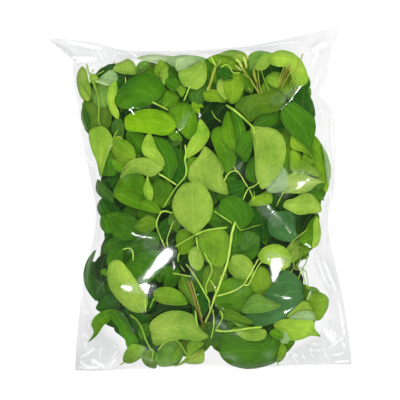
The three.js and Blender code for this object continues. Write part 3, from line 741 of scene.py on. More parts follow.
class Heap:
    """The contents while they are being laid: a pile upwards and a turned one downwards."""

    def __init__(self):
        share = np.minimum(GRID_SHARE, 1)
        within = GRID_SHARE <= 1
        margin = margin_height(GRID_BEYOND)
        inner = np.clip((1 - GRID_SHARE) / INNER_BAND, 0, 1)
        top = np.where(within, dome_height(share, GRID_X, GRID_Y), margin)
        belly = np.where(within, belly_height(share), margin - MARGIN_GAP)
        self.upper = Pile(top - UPPER_ROOM * inner, False)
        self.lower = Pile(-(belly + LOWER_ROOM * inner + LOWER_LIFT), True)


heap = Heap()

# ---------------------------------------------------------------- stems and tendrils


class Stem(NamedTuple):
    """A stalk by a few points that it passes, its thickness and its tone."""

    path: tuple
    thick: float
    tone: str


STEMS = [
    Stem(((-113.5, 135.5), (-111.5, 129), (-109, 122.5), (-104.5, 112.5), (-101.5, 103),
          (-100.5, 95.5), (-101, 79.5), (-99.5, 74.5)), 1.7, "lime"),
    Stem(((-106, 130), (-109, 124.5)), 1.2, "lime"),
    Stem(((15, 133.5), (12, 123), (8, 111), (6, 108)), 3.2, "husk"),
    Stem(((10, 142), (12, 137.5), (15, 132.5)), 1.8, "stalk"),
    Stem(((20, 139.5), (17, 133.5)), 1.5, "husk"),
    Stem(((20, 131), (25, 134), (29, 131), (32, 126), (39, 126)), 1.3, "stalk"),
    Stem(((-41, 26), (-35, 22.5), (-23.5, 15)), 1.7, "shoot"),
    Stem(((-15.5, 54.5), (-14.5, 47.5), (-15.5, 39.5), (-14, 30), (-15.5, 23), (-20.5, 17),
          (-27, 8.5), (-37, -7.5)), 1.7, "stalk"),
    Stem(((-20.5, 61.5), (-19.5, 49.5), (-20.5, 35.5)), 0.9, "olive"),
    Stem(((25, 94), (34.5, 87), (43.5, 79), (50.5, 72), (52.5, 65)), 2.4, "stalk"),
    Stem(((11, 88), (14, 82), (20, 77)), 1.2, "lime"),
    Stem(((-48, 97), (-32, 89)), 1.6, "stalk"),
    Stem(((-10.5, 113), (-16.5, 98)), 1.6, "stalk"),
    Stem(((23, 19), (26, 25), (30.5, 28.5), (35.5, 28.5), (39.5, 24), (45.5, 14),
          (47.5, 12)), 1.2, "shoot"),
    Stem(((34.5, 29), (32.5, 33.5)), 1.0, "stalk"),
    Stem(((57, 18), (52.5, 14), (47.5, 12), (45.5, 10), (41.5, 0.5)), 1.2, "shoot"),
    Stem(((47.5, 11), (50.5, 4.5), (51.5, -1.5)), 1.1, "stalk"),
    Stem(((52.5, 9), (52.5, 0.5)), 0.9, "stalk"),
    Stem(((-39, -11.5), (-34, -10.5), (-28, -12.5)), 1.6, "stalk"),
    Stem(((-38, -10.5), (-42, -17.5), (-43, -25), (-40, -35), (-35, -46.5)), 1.4, "stalk"),
    Stem(((-27, -21), (-30, -29), (-33, -38), (-32.5, -45.5)), 1.3, "shoot"),
    Stem(((26, -26.5), (13, -28), (3, -30), (-7.5, -35), (-16.5, -40), (-25, -45.5)), 1.8, "stalk"),
    Stem(((34, -21), (30.5, -32), (29, -44), (26, -61.5), (21, -75.5), (16.5, -88), (13, -97),
          (9, -110), (4, -121)), 2.3, "shoot"),
    Stem(((13, -10.5), (22, -16.5), (30.5, -22)), 1.2, "stalk"),
    Stem(((34.5, -23), (39.5, -29), (50.5, -26), (59, -24)), 1.1, "lime"),
    Stem(((-4.5, -36), (-3.5, -43), (-2.5, -48.5)), 1.4, "stalk"),
    Stem(((16, -94), (27, -91), (34.5, -88), (42, -82.5), (47.5, -73.5), (51.5, -66.5),
          (56.5, -57.5)), 1.4, "shoot"),
    Stem(((41.5, -82.5), (46.5, -83), (50.5, -75.5), (54.5, -67.5), (57.5, -63),
          (60, -60.5)), 1.2, "shoot"),
    Stem(((-14.5, -62.5), (-8.5, -70.5), (-0.5, -83), (5, -93), (9, -100)), 1.9, "stalk"),
    Stem(((-28, -71.5), (-18.5, -73), (-9.5, -75)), 1.3, "stalk"),
    Stem(((-20.5, -50.5), (-22.5, -57.5), (-19.5, -64.5), (-15.5, -70.5)), 1.3, "stalk"),
    Stem(((3, -50.5), (6, -56.5), (10, -63.5), (11, -69.5), (8, -77), (5, -85), (6, -92)), 1.3, "stalk"),
    Stem(((9, -78), (13, -84), (15, -92)), 1.0, "stalk"),
    Stem(((18, -75.5), (25, -72.5)), 0.8, "stalk"),
    Stem(((-12.5, -79), (-8.5, -90), (-4.5, -104), (-0.5, -114), (2.5, -125)), 2.0, "bark"),
    Stem(((-9.5, -79), (-5.5, -91), (-1.5, -106), (1.5, -116)), 1.2, "husk"),
    Stem(((-5.5, -108), (-4.5, -116), (-3, -124)), 1.5, "stalk"),
    Stem(((12, -108), (13, -116), (12.5, -126), (10, -137)), 1.3, "stalk"),
    Stem(((19, -108), (21.5, -114), (19, -121), (15, -127)), 1.1, "stalk"),
    Stem(((14, -128), (24, -129), (36, -127.5), (48.5, -125.5), (60.5, -124.5)), 1.9, "stalk"),
    Stem(((8, -97), (8.5, -104), (10, -110)), 1.0, "stalk"),
    Stem(((-70, -113), (-63, -118), (-58, -126), (-54, -138), (-49.5, -146.5),
          (-46.5, -148.5)), 1.7, "lime"),
    Stem(((-46.5, -148.5), (-48.5, -159)), 1.4, "lime"),
    Stem(((-42.5, -148.5), (-35.5, -140), (-28.5, -137), (-22.5, -139), (-18.5, -145),
          (-13.5, -153.5)), 1.6, "lime"),
    Stem(((-54.5, -96), (-54, -110)), 1.3, "stalk"),
    Stem(((-46, -96), (-50, -106)), 1.3, "stalk"),
    Stem(((-66.5, -59.5), (-66.5, -51.5), (-69.5, -47), (-76.5, -48)), 1.5, "stalk"),
    Stem(((86.5, 135.5), (81.5, 124), (76.5, 114)), 1.1, "husk"),
    Stem(((88.5, 133.5), (82.5, 122), (78.5, 112)), 1.2, "bark"),
    Stem(((90, 129.5), (84.5, 120), (79.5, 111)), 1.1, "husk"),
    Stem(((102, 146.5), (96.5, 133.5), (87.5, 112)), 1.5, "husk"),
    Stem(((82.5, 132.5), (78.5, 122), (76, 115)), 1.1, "husk"),
    Stem(((90.5, 124), (91.5, 117), (89, 108)), 1.0, "lime"),
    Stem(((92.5, 123.5), (94, 119.5), (94.5, 111)), 1.0, "lime"),
    Stem(((52, 129), (54.5, 119), (57.5, 105)), 1.5, "husk"),
    Stem(((48.5, 121), (53.5, 112), (57.5, 105)), 1.8, "husk"),
    Stem(((56.5, 128), (57.5, 117), (59.5, 105)), 1.4, "husk"),
    Stem(((59.5, 128), (62.5, 120), (67.5, 107)), 1.2, "lime"),
    Stem(((52, 127), (53.5, 121), (55.5, 116)), 2.4, "husk"),
    Stem(((46.5, 111), (50.5, 107)), 1.6, "husk"),
    Stem(((81, 8.5), (74, -6.5)), 1.3, "stalk"),
    Stem(((105.5, -28.5), (98, -34), (93, -38), (88, -43)), 1.2, "lime"),
    Stem(((92, -61), (92.5, -66.5), (95, -68.5), (101, -68.5)), 1.1, "stalk"),
    Stem(((93, -65.5), (98, -61), (106, -55)), 0.9, "husk"),
    Stem(((106, -55), (104.5, -62), (101.5, -67.5), (102, -74.5), (104, -82.5),
          (107, -88.5)), 1.1, "stalk"),
    Stem(((101.5, -67.5), (105, -72), (106, -79.5), (107, -86.5)), 1.0, "stalk"),
    Stem(((94, -66.5), (98, -66), (101.5, -68)), 1.0, "husk"),
    Stem(((99.5, -68.5), (96, -77.5)), 0.8, "stalk"),
    Stem(((92, -65.5), (88, -71.5)), 0.8, "husk"),
    Stem(((89, -52), (99.5, -46), (98, -61)), 0.9, "lime"),
    Stem(((-81.5, 69.5), (-86.5, 60.5), (-86.5, 54.5), (-82.5, 49.5)), 1.2, "lime"),
    Stem(((-75.5, -160.5), (-80.5, -164)), 1.6, "husk"),
    Stem(((75.5, -159.5), (77.5, -164.5)), 1.3, "stalk"),
    Stem(((-12.5, -159), (-4.5, -153.5), (3.5, -149.5)), 0.8, "husk"),
    Stem(((-10.5, -155.5), (-2.5, -150.5)), 0.7, "bud"),
    Stem(((-74.5, 122), (-74.5, 116)), 1.0, "shoot"),
    Stem(((42, 141.5), (44, 136.5), (45, 130)), 3.2, "bud"),
    Stem(((34.5, 139), (38, 136.5), (41, 132)), 2.4, "bud"),
    Stem(((34, 133.5), (37, 131), (40, 128)), 2.4, "bud"),
    Stem(((38, 135.5), (41, 130), (44, 126)), 2.0, "bud"),
    Stem(((45, 142.5), (47, 139.5)), 1.4, "bud"),
    Stem(((41, 131), (45, 125), (48.5, 120)), 1.3, "husk"),
    Stem(((42, 125), (46.5, 121)), 1.2, "husk"),
    Stem(((-87, 136), (-85.5, 139)), 1.6, "bud"),
    Stem(((-99.5, 131), (-98, 133.5)), 1.2, "bud"),
    Stem(((-102, 124.5), (-96, 128.5)), 1.0, "stalk"),
]
STEM_SIDES = 8
STEM_STEP = 1.6
STEM_LEAST_RINGS = 6
STEM_TAPER = (1.08, 0.88)  # of its thickness, at its start and its end
STEM_SPRING = 12  # rounds of straightening between the leaves that carry it
STEM_SUNK = 0.9  # height of its middle over them, in radii
STEM_TOP = 1.9  # height that the pile learns, in radii
STEM_SWELL = 0.1
STEM_SWELLS = 0.9  # radians from ring to ring
STEM_TIP = 0.6
STEM_FINENESS = 3


def lay_stem(pile, shell, stem, rng):
    """Lays a stalk on the pile as a tube that thins towards its end."""
    steps = np.linalg.norm(np.diff(np.asarray(stem.path, float), axis=0), axis=1).sum()
    count = max(STEM_LEAST_RINGS, int(steps / STEM_STEP))
    plan = open_curve(stem.path, count)
    radius = stem.thick / 2 * np.linspace(*STEM_TAPER, count)
    about = [(dx, dy) for dx in (-1, 0, 1) for dy in (-1, 0, 1)]
    floor = np.max([sample(pile.height, plan[:, 0] + dx, plan[:, 1] + dy) for dx, dy in about], 0)
    z = floor.copy()
    for _ in range(STEM_SPRING):
        padded = np.pad(z, 1, mode="edge")
        z = np.maximum((padded[:-2] + padded[2:]) / 2, floor)
    line = np.column_stack([plan, z + radius * STEM_SUNK])
    ahead = np.gradient(line, axis=0)
    ahead /= np.linalg.norm(ahead, axis=1)[:, None]
    side = np.cross(ahead, [0, 0, 1])
    side /= np.linalg.norm(side, axis=1)[:, None]
    up = np.cross(side, ahead)
    angle = np.arange(STEM_SIDES) * 2 * math.pi / STEM_SIDES
    ring = np.cos(angle)[None, :, None] * side[:, None] + np.sin(angle)[None, :, None] * up[:, None]
    swell = radius * (1 + STEM_SWELL * np.sin(np.arange(count) * STEM_SWELLS + rng.uniform(0, 6)))
    swell[[0, -1]] *= STEM_TIP
    points = (line[:, None] + ring * swell[:, None, None]).reshape(-1, 3)
    faces = [
        (
            r * STEM_SIDES + s,
            (r + 1) * STEM_SIDES + s,
            (r + 1) * STEM_SIDES + (s + 1) % STEM_SIDES,
            r * STEM_SIDES + (s + 1) % STEM_SIDES,
        )
        for r in range(count - 1)
        for s in range(STEM_SIDES)
    ]
    last = (count - 1) * STEM_SIDES
    faces.append(tuple(range(STEM_SIDES)))
    faces.append(tuple(last + s for s in reversed(range(STEM_SIDES))))
    shell.add(points, faces, tints=(*linear(TONES[stem.tone]) * LIGHT_GAIN, 1.0))
    width = np.array([-0.5, 0.5])[None, :] * stem.thick
    flat = side[:, :2] / np.maximum(np.linalg.norm(side[:, :2], axis=1), 1e-6)[:, None]
    xs = plan[:, :1] + flat[:, :1] * width
    ys = plan[:, 1:] + flat[:, 1:] * width
    pile.raise_to(xs, ys, np.repeat((z + STEM_TOP * radius)[:, None], 2, axis=1), STEM_FINENESS)


# ---------------------------------------------------------------- lights and camera

CAMERA_HEIGHT = 3.0
CAMERA_SENSOR = 0.036
VIEW_WIDTH = 0.4  # what the photo's frame spans at the height of the bag's margin
VIEW_CENTRE = (-0.0007, 0.0004)
MARGIN_LEVEL = 0.018


class Lamp(NamedTuple):
    """An area light that looks at the middle of the bag."""

    place: tuple
    size: tuple
    power: float
    mirrored: bool


LAMPS = {
    "near": Lamp((-0.35, -1.1, 1.3), (0.26, 0.2), 9, True),
    "far": Lamp((0.1, 1.25, 1.15), (0.4, 0.4), 8.6, False),
    "left": Lamp((-1.2, 0.4, 1.05), (0.4, 0.4), 6.6, False),
    "right": Lamp((1.25, 0.1, 1.05), (0.4, 0.4), 7, False),
    "fill": Lamp((0.3, 0.1, 1.8), (1.0, 1.0), 15, False),
}

FLOOR_REACH = 3.0
FLOOR_GLOW = 0.91  # light from the floor itself, as on a light table, which keeps shadows off it
DARK_ABOVE = 0.6  # height on a unit sphere from which the studio has its least light
STUDIO_MOST = 0.9
STUDIO_LEAST = 0.01

# ---------------------------------------------------------------- film

FILM_CELLS = 220  # of each sheet, along and across
RIM_CELL = 0.8  # the heap's rim, as a share of the way from the middle of the film to its edge
FILM_CLEARANCE = 0.3
FILM_SPAN = 11  # steps by which the leaves' height map is widened before the film is smoothed over it
FILM_SMOOTHING = (110, 40, 15, 5, 2)
EDGE_WAVE_TURNS = (2.1, 0.7, 5.3)  # radians for each station
EDGE_WAVE_BEND = 1.3
PUCKER = 0.5
PUCKER_TURNS = 8.3
FLOOR_GAP = 0.05
TOP_BAND = 132  # where the greyer band by the bag's mouth begins
TOP_BAND_FADE = 10
TOP_BAND_REACH = 100
TOP_BAND_SIDE_FADE = 40
TOP_GREY = 0.55
CREASE_GREY = 0.15
GREYER_PLACES = [  # where the film is greyer, and how much
    ((-126, -170), 0.8),
    ((-95, -140), 0.7),
    ((151, -164), 0.5),
    ((100, -145), 0.55),
    ((137, 172), 0.1),
    ((-125, 145), 0.3),
    ((-112, 0), 0.45),
    ((131, 0), 0.25),
    ((130, -80), 0.3),
]
GREYER_REACH = 50
GREYER_FULL = 1.2
FILM_APART = 0.9  # between the two sheets beside the heap
CLOSING = 0.6  # the share of the margin over which the sheets come together
MOST_SAG = 2.0


class Crease(NamedTuple):
    """A straight fold that stands up from the film."""

    start: tuple
    end: tuple
    high: float
    wide: float


CREASES = [
    Crease((-120.5, -99.5), (-114.5, -107.5), 0.6, 2.2),
    Crease((-116.5, -110.5), (-110.5, -112.5), 0.7, 2.6),
    Crease((-118.5, -132.5), (-111.5, -136.5), 0.6, 2.0),
    Crease((-119.5, -135.5), (-113.5, -138.5), 0.5, 1.6),
    Crease((-109.5, -148.5), (-98.5, -150), 0.7, 1.8),
    Crease((-120.5, -157.5), (-107.5, -149.5), 0.8, 2.2),
    Crease((-110.5, -159.5), (-95.5, -167.5), 1.0, 3.0),
    Crease((-91.5, -166.5), (-82.5, -154.5), 0.9, 2.2),
    Crease((-118.5, -168), (-100.5, -168), 0.6, 1.8),
    Crease((-121.5, -160.5), (-110.5, -169.5), 0.8, 2.0),
    Crease((-86.5, -143.5), (-84.5, -146.5), 0.5, 2.0),
    Crease((-82.5, -147.5), (-87.5, -157.5), 0.6, 1.6),
    Crease((-116.5, -140.5), (-112.5, -151.5), 0.6, 1.8),
    Crease((-91.5, -127.5), (-88.5, -123.5), 0.4, 1.4),
    Crease((-112.5, -119.5), (-110.5, -128.5), 0.4, 1.6),
    Crease((-98.5, -139.5), (-101.5, -161.5), 0.5, 1.4),
    Crease((122.5, -125.5), (133.5, -141.5), 1.4, 5.0),
    Crease((129.5, -127.5), (137.5, -137.5), 0.6, 2.0),
    Crease((108.5, -142.5), (119.5, -143.5), 0.6, 1.8),
    Crease((108.5, -144.5), (109.5, -150.5), 0.6, 1.8),
    Crease((109.5, -150.5), (120.5, -149.5), 0.6, 1.8),
    Crease((119.5, -143.5), (123.5, -149.5), 0.6, 1.6),
    Crease((85.5, -147.5), (97.5, -155.5), 0.8, 2.0),
    Crease((89.5, -150.5), (98.5, -165.5), 0.7, 1.6),
    Crease((99.5, -151.5), (105.5, -160.5), 0.6, 1.8),
    Crease((129.5, -147.5), (141.5, -137.5), 0.8, 2.0),
    Crease((139.5, -135.5), (145.5, -149.5), 0.6, 2.0),
    Crease((134.5, -162.5), (149.5, -160.5), 0.7, 2.2),
    Crease((127.5, -156.5), (145.5, -152.5), 0.5, 2.0),
    Crease((107.5, -151.5), (115.5, -158.5), 0.5, 1.6),
    Crease((121.5, -149.5), (129.5, -161.5), 0.5, 1.4),
    Crease((110.5, 148.5), (125.5, 156.5), 0.9, 5.0),
    Crease((111.5, 136.5), (117.5, 148.5), 0.7, 3.5),
    Crease((121.5, 152.5), (128.5, 157.5), 0.6, 2.0),
    Crease((105.5, 147.5), (108.5, 134.5), 0.5, 1.8),
    Crease((127.5, 130.5), (134.5, 160.5), 0.9, 2.6),
    Crease((110.5, 104.5), (116.5, 124.5), 0.7, 2.6),
    Crease((102.5, 132.5), (109.5, 122.5), 0.6, 2.0),
    Crease((-128.5, 142), (-102.5, 141), 0.9, 3.2),
    Crease((-127.5, 137.5), (-104.5, 139), 0.7, 2.6),
    Crease((-134.5, 159), (-99.5, 152), 0.9, 3.2),
    Crease((-102.5, 148.5), (-96.5, 138.5), 0.6, 1.6),
    Crease((-97.5, 149.5), (-92.5, 140.5), 0.5, 1.6),
    Crease((-87.5, 142.5), (-80.5, 148.5), 0.6, 2.0),
    Crease((-72.5, 149.5), (-61.5, 141.5), 0.6, 2.0),
    Crease((-54.5, 143.5), (-69.5, 150.5), 0.4, 1.4),
    Crease((-118.5, 50.5), (-108.5, 32.5), 0.6, 2.4),
    Crease((-115.5, 72.5), (-109.5, 67.5), 0.5, 2.0),
    Crease((-110.5, 42.5), (-103.5, 28.5), 0.6, 2.0),
    Crease((-108.5, 0.5), (-103.5, -13.5), 0.5, 2.0),
    Crease((-120.5, 88.5), (-117.5, 60.5), 0.5, 2.4),
    Crease((-107.5, -27.5), (-113.5, -61.5), 0.5, 2.4),
    Crease((-116.5, -81.5), (-119.5, -99.5), 0.6, 2.2),
    Crease((112.5, -49.5), (125.5, -83.5), 0.6, 3.0),
    Crease((121.5, -57.5), (135.5, -91.5), 0.7, 3.2),
    Crease((125.5, -83.5), (128.5, -86.5), 0.5, 2.4),
    Crease((128.5, -24.5), (130.5, -44.5), 0.5, 2.4),
    Crease((131.5, 85.5), (132.5, 40.5), 0.6, 2.6),
    Crease((124.5, 30.5), (129.5, -4.5), 0.6, 2.6),
    Crease((137.5, -99.5), (144.5, -137.5), 0.6, 2.6),
    Crease((116.5, -99.5), (130.5, -117.5), 0.5, 2.4),
    Crease((-20.5, 151), (39.5, 150), 0.4, 1.6),
    Crease((-50.5, 147), (4.5, 146.5), 0.4, 1.6),
    Crease((54.5, 153.5), (99.5, 158.5), 0.5, 2.0),
]


class Glint(NamedTuple):
    """A facet of the film that throws back the near lamp, in full or, turned away a little, as a haze."""

    start: tuple
    end: tuple
    wide: float  # at its start
    narrow: float  # at its end
    turned: float = 0.0


GLINTS = [
    Glint((70, 22), (106, 22), 18, 18, 0.13),
    Glint((74, 99), (86, 107), 9, 6, 0.12),
    Glint((-50, -42), (-38, -52.5), 10, 10, 0.11),
    Glint((70, 14), (82, 6.5), 8, 6, 0.1),
    Glint((61, -7.5), (75, -21), 8, 8, 0.1),
    Glint((-105, -78), (-95.5, -83.5), 0.1, 0.1, 0.1),
    Glint((-103, -91), (-96.5, -80.5), 0.1, 0.1, 0.1),
    Glint((-56.5, -78.5), (-52, -92), 8, 5, 0.09),
    Glint((-20.5, 72), (-11.5, 85), 5, 3, 0.09),
    Glint((-73.5, -85.5), (-48, -86), 7, 7, 0.08),
    Glint((68, -55.5), (82, -60.5), 8, 8, 0.08),
    Glint((86, 13), (110, 20), 9, 5, 0.08),
    Glint((77, 20), (76, 8.5), 5, 3, 0.08),
    Glint((80, 97), (95.5, 112.5), 3, 4, 0.08),
    Glint((-78, -111.5), (-65, -129.5), 0.1, 0.1, 0.08),
    Glint((-50, 92), (-44, 95), 0.2, 0.2, 0.07),
    Glint((-104, 118.5), (-88, 116), 1, 0.6, 0.07),
    Glint((-31, -51.5), (-56, -77.5), 11, 4, 0.06),
    Glint((90, 26), (107, 25.5), 0.3, 0.3, 0.06),
    Glint((82, -17.5), (96, -39), 0.2, 0.2, 0.06),
    Glint((61, -12.5), (70, -14.5), 1.5, 1, 0.06),
    Glint((94, -103), (87, -109), 0.3, 0.3, 0.06),
    Glint((72, -52.5), (78, -53), 1, 0.5, 0.05),
    Glint((73, -93), (77, -94), 1, 0.6, 0.05),
    Glint((-17.5, 71), (-13.5, 77), 0.5, 0.5, 0.05),
    Glint((-63.5, 90), (-50, 92), 0.2, 0.2, 0.05),
    Glint((-90, 51), (-87.5, 54.5), 0.8, 0.5, 0.05),
    Glint((89, 29), (108, 28.5), 0.3, 0.3, 0.04),
    Glint((116.5, 18), (121.5, 18.5), 1, 0.3, 0.04),
    Glint((106, -97.5), (108, -90.5), 0.5, 0.3, 0.04),
    Glint((-84, 122.5), (-81, 120.5), 0.6, 0.3, 0.04),
    Glint((-26.5, -60.5), (-26, -66.5), 1.2, 1.2, 0.03),
    Glint((77, -16.5), (88, -31), 0.5, 0.3, 0.03),
    Glint((79, 90), (89, 99.5), 0.3, 0.3, 0.03),
    Glint((66.5, -58.5), (82, -58), 0.5, 0.5, 0.02),
    Glint((93, 12), (98, 12.5), 1, 0.5, 0.02),
    Glint((71, -10.5), (76, -16.5), 1.8, 0.8, 0.02),
    Glint((103.5, -43), (108.5, -46), 1, 0.6, 0.02),
    Glint((-24, 67), (-17.5, 71), 0.4, 0.4, 0.02),
    Glint((-40, -60.5), (-53, -74.5), 5, 1.5, 0.01),
    Glint((-69.5, -84), (-69, -89.5), 0.5, 0.5, 0.01),
    Glint((-54, -84), (-60.5, -83), 1.5, 0.4, 0.01),
    Glint((-52, -84), (-46, -84), 1.5, 0.4, 0.01),
    Glint((104, 19), (107, 21), 1, 0.3, 0.01),
    Glint((66, -5.5), (70, -10.5), 1.5, 1.2, 0.01),
    Glint((83, -110), (86.5, -108.5), 1.5, 1.2, 0.01),
    Glint((89, 99.5), (99, 113), 0.4, 0.8, 0.01),
    Glint((-0.5, 85.5), (-0.5, 81), 1, 0.8, 0.01),
    Glint((-70, 89), (-66.5, 91.5), 0.4, 0.4, 0.01),
    Glint((-33, -52.5), (-40, -60.5), 8, 7),
    Glint((-70, -86.5), (-77.5, -84.5), 3.5, 0.5),
    Glint((-54, -85.5), (-53, -90.5), 6, 0.6),
    Glint((74, -63.5), (72, -78.5), 9, 0.8),
    Glint((-67.5, -32.5), (-56.5, -36), 0.6, 0.6),
    Glint((-56.5, -36), (-45, -37), 0.6, 0.6),
    Glint((97, 15.5), (102, 17.5), 3, 1.5),
    Glint((82, -95.5), (88, -96.5), 2, 1),
    Glint((-69.5, 89.5), (-65.5, 84.5), 1.2, 0.6),
]
FACET_SHOULDER = 0.5  # how far a facet takes to pass into the film beside it, as a share of its width
HAZE_SHOULDER = 0.6
LEAST_SHOULDER = 1.3
FULL_SLOPE = 0.36  # of a facet that throws back the near lamp in full


def mirror_slope(place):
    """The slope of film that shows the near lamp to the camera at a place on the bag, in millimetres."""
    place = np.array([*place, HEAP_HEIGHT]) * MM
    to_lamp = np.array(LAMPS["near"].place) - place
    to_camera = np.array([*VIEW_CENTRE, CAMERA_HEIGHT]) - place
    between = to_lamp / np.linalg.norm(to_lamp) + to_camera / np.linalg.norm(to_camera)
    return -between[:2] / between[2]


def facets(x, y):
    """Which way the facets of GLINTS face, a later one over an earlier, and how fully each point of the film
    belongs to them."""
    facing = np.zeros(x.shape + (3,))
    share = np.zeros(x.shape)
    for glint in GLINTS:
        off, along = distance_to(glint.start, glint.end, x, y)
        off = off - (glint.wide + (glint.narrow - glint.wide) * np.clip(along, 0, 1)) / 2
        middle = (np.asarray(glint.start, float) + glint.end) / 2
        slope = mirror_slope(middle) * (1 - glint.turned / FULL_SLOPE)
        shoulder = max(LEAST_SHOULDER, glint.wide * (HAZE_SHOULDER if glint.turned else FACET_SHOULDER))
        own = np.clip(1 - off / shoulder, 0, 1) ** 1.5
        over = np.where(share > 0, own, own > 0)[..., None]
        facing = facing * (1 - over) + np.array([-slope[0], -slope[1], 1.0]) * over
        share = np.maximum(share, own)
    return facing, share


def film_form(pile_height):
    """The film drawn over a pile: a smooth surface close over the leaves, which a few of their points pass."""
    drawn = softened(widened(pile_height, FILM_SPAN), FILM_SMOOTHING[0])
    for times in FILM_SMOOTHING[1:]:
        drawn = softened(np.maximum(drawn, pile_height + FILM_CLEARANCE), times)
    return drawn


def distance_to(start, end, x, y):
    """The distance of places from a line's body, and their place along it."""
    start, end = np.asarray(start, float), np.asarray(end, float)
    run = end - start
    length = np.hypot(*run)
    dx, dy = x - start[0], y - start[1]
    along = (dx * run[0] + dy * run[1]) / length
    off = np.abs(dx * run[1] - dy * run[0]) / length
    beyond = np.maximum(np.maximum(-along, along - length), 0)
    return np.hypot(off, beyond), along / length


def add_creases(form):
    """The film's form with its creases standing up from it."""
    for crease in CREASES:
        off, along = distance_to(crease.start, crease.end, GRID_X, GRID_Y)
        taper = np.clip(np.sin(np.clip(along, 0, 1) * math.pi), 0, 1) ** 0.5
        form = form + crease.high * taper * np.clip(1 - off / crease.wide, 0, 1) ** 1.3
    return form


def crease_looks(x, y):
    """How white the film is on the crests of its creases, as a painted highlight, and how grey at their feet.
    """
    white, grey = np.zeros(x.shape), np.zeros(x.shape)
    for crease in CREASES:
        off, along = distance_to(crease.start, crease.end, x, y)
        taper = np.sin(np.clip(along, 0, 1) * math.pi) ** 0.5
        white = np.maximum(white, taper * crease.high * np.clip(1.3 - off / crease.wide * 2, 0, 1))
        grey = np.maximum(grey, taper * np.clip(1 - np.abs(off - crease.wide) / crease.wide, 0, 1))
    return np.minimum(white, 1), grey


def film_points(cells):
    """Plan places of the film's mesh, with each one's share of the way to the edge, and its station."""
    a, b = np.meshgrid(np.linspace(-1, 1, cells + 1), np.linspace(-1, 1, cells + 1), indexing="ij")
    share = np.maximum(np.abs(a), np.abs(b))
    safe = np.maximum(share, 1e-9)
    a, b = a / safe, b / safe
    side = np.select([b >= 1 - 1e-9, a >= 1 - 1e-9, b <= -1 + 1e-9], [0, 1, 2], 3)
    along = np.select([side == 0, side == 1, side == 2], [(a + 1) / 2, (1 - b) / 2, (1 - a) / 2], (b + 1) / 2)
    corners = np.array(CORNER_STATIONS + (len(OUTLINE),), float)
    station = corners[side] + (corners[side + 1] - corners[side]) * along
    rim, edge = closed_curve(RIM_POINTS, station), closed_curve(EDGE_POINTS, station, CORNER_STATIONS)
    within = np.minimum(share / RIM_CELL, 1)[..., None]
    beyond = np.clip((share - RIM_CELL) / (1 - RIM_CELL), 0, 1)
    plan = HEAP_CENTRE + (rim - HEAP_CENTRE) * within
    plan = plan + (edge - plan) * beyond[..., None]
    return plan[..., 0], plan[..., 1], beyond, station


def edge_height(station):
    """Height of the film's free edge, which rises to both top corners."""
    apart = [np.abs(station - ear) for ear in EAR_STATIONS]
    apart = np.min([np.minimum(each, len(OUTLINE) - each) for each in apart], 0)
    return EDGE_HEIGHT + EAR_RISE * np.exp(-((apart / EAR_WIDTH) ** 2))


def film_mesh(height):
    """Front and back sheet as one shell, joined along the free edge."""
    front_form = add_creases(film_form(heap.upper.height))
    back_form = np.maximum(-film_form(heap.lower.height), 0)
    x, y, beyond, station = film_points(FILM_CELLS)
    margin_plan = margin_height(sample(GRID_BEYOND, x, y))
    margin = margin_height(beyond, edge_height(station))
    slow, slower, quick = (station * turns for turns in EDGE_WAVE_TURNS)
    wave = height * np.sin(slow + EDGE_WAVE_BEND * np.sin(slower)) * beyond**1.5
    wave += 0.5 * height * np.sin(quick + 2 * beyond) * beyond * (1 - beyond) * 4
    outside = beyond > 0
    apart = FILM_APART / 2 * (1 - beyond)
    near_edge = np.clip((1 - beyond) / CLOSING, 0, 1)
    closing = near_edge * near_edge * (3 - 2 * near_edge)
    raised = np.maximum(sample(front_form, x, y) - margin_plan, 0)
    sunk = np.maximum(margin_plan - sample(back_form, x, y), 0)
    front = np.where(outside, margin + wave + np.maximum(raised, apart) * closing, sample(front_form, x, y))
    pucker = PUCKER * np.sin(station * PUCKER_TURNS) * beyond * (1 - beyond) * 4
    hung = margin + wave - np.maximum(np.minimum(sunk, MOST_SAG), apart) * closing + pucker
    back = np.where(outside, hung, sample(back_form, x, y))
    back = np.maximum(back, FLOOR_GAP)
    cells = FILM_CELLS + 1
    number = np.arange(cells * cells).reshape(cells, cells)
    back_number = number + cells * cells
    rim = beyond >= 1 - 1e-9
    back_number = np.where(rim, number, back_number)
    points = np.concatenate([np.stack([x, y, z], -1).reshape(-1, 3) for z in (front, back)])
    faces = []
    for sheet, turned in ((number, True), (back_number, False)):
        a, b, c, d = (sheet[:-1, :-1], sheet[1:, :-1], sheet[1:, 1:], sheet[:-1, 1:])
        quads = np.stack([a, b, c, d] if turned else [a, d, c, b], -1).reshape(-1, 4)
        faces.append(quads)
    faces = np.concatenate(faces)
    used = np.unique(faces)
    renumber = np.zeros(len(points), int)
    renumber[used] = np.arange(len(used))
    top_band = np.clip((y - TOP_BAND) / TOP_BAND_FADE, 0, 1)
    top_band = top_band * np.clip((TOP_BAND_REACH - np.abs(x)) / TOP_BAND_SIDE_FADE, 0, 1)
    corners = [
        much * np.clip(GREYER_FULL - np.hypot(x - place[0], y - place[1]) / GREYER_REACH, 0, 1)
        for place, much in GREYER_PLACES
    ]
    white, grey = crease_looks(x, y)
    grey = np.clip(top_band * TOP_GREY + grey * CREASE_GREY + np.max(corners, 0), 0, 1)
    facing, share = facets(x, y)
    facing = np.tile(facing.reshape(-1, 3), (2, 1))
    looks = np.stack([np.stack([beyond, grey, white, on_front], -1) for on_front in (share, share * 0)])
    return points[used], renumber[faces], facing[used], looks.reshape(-1, 4)[used]


# ---------------------------------------------------------------- finishes


WHITE = (1.0, 1.0, 1.0, 1.0)


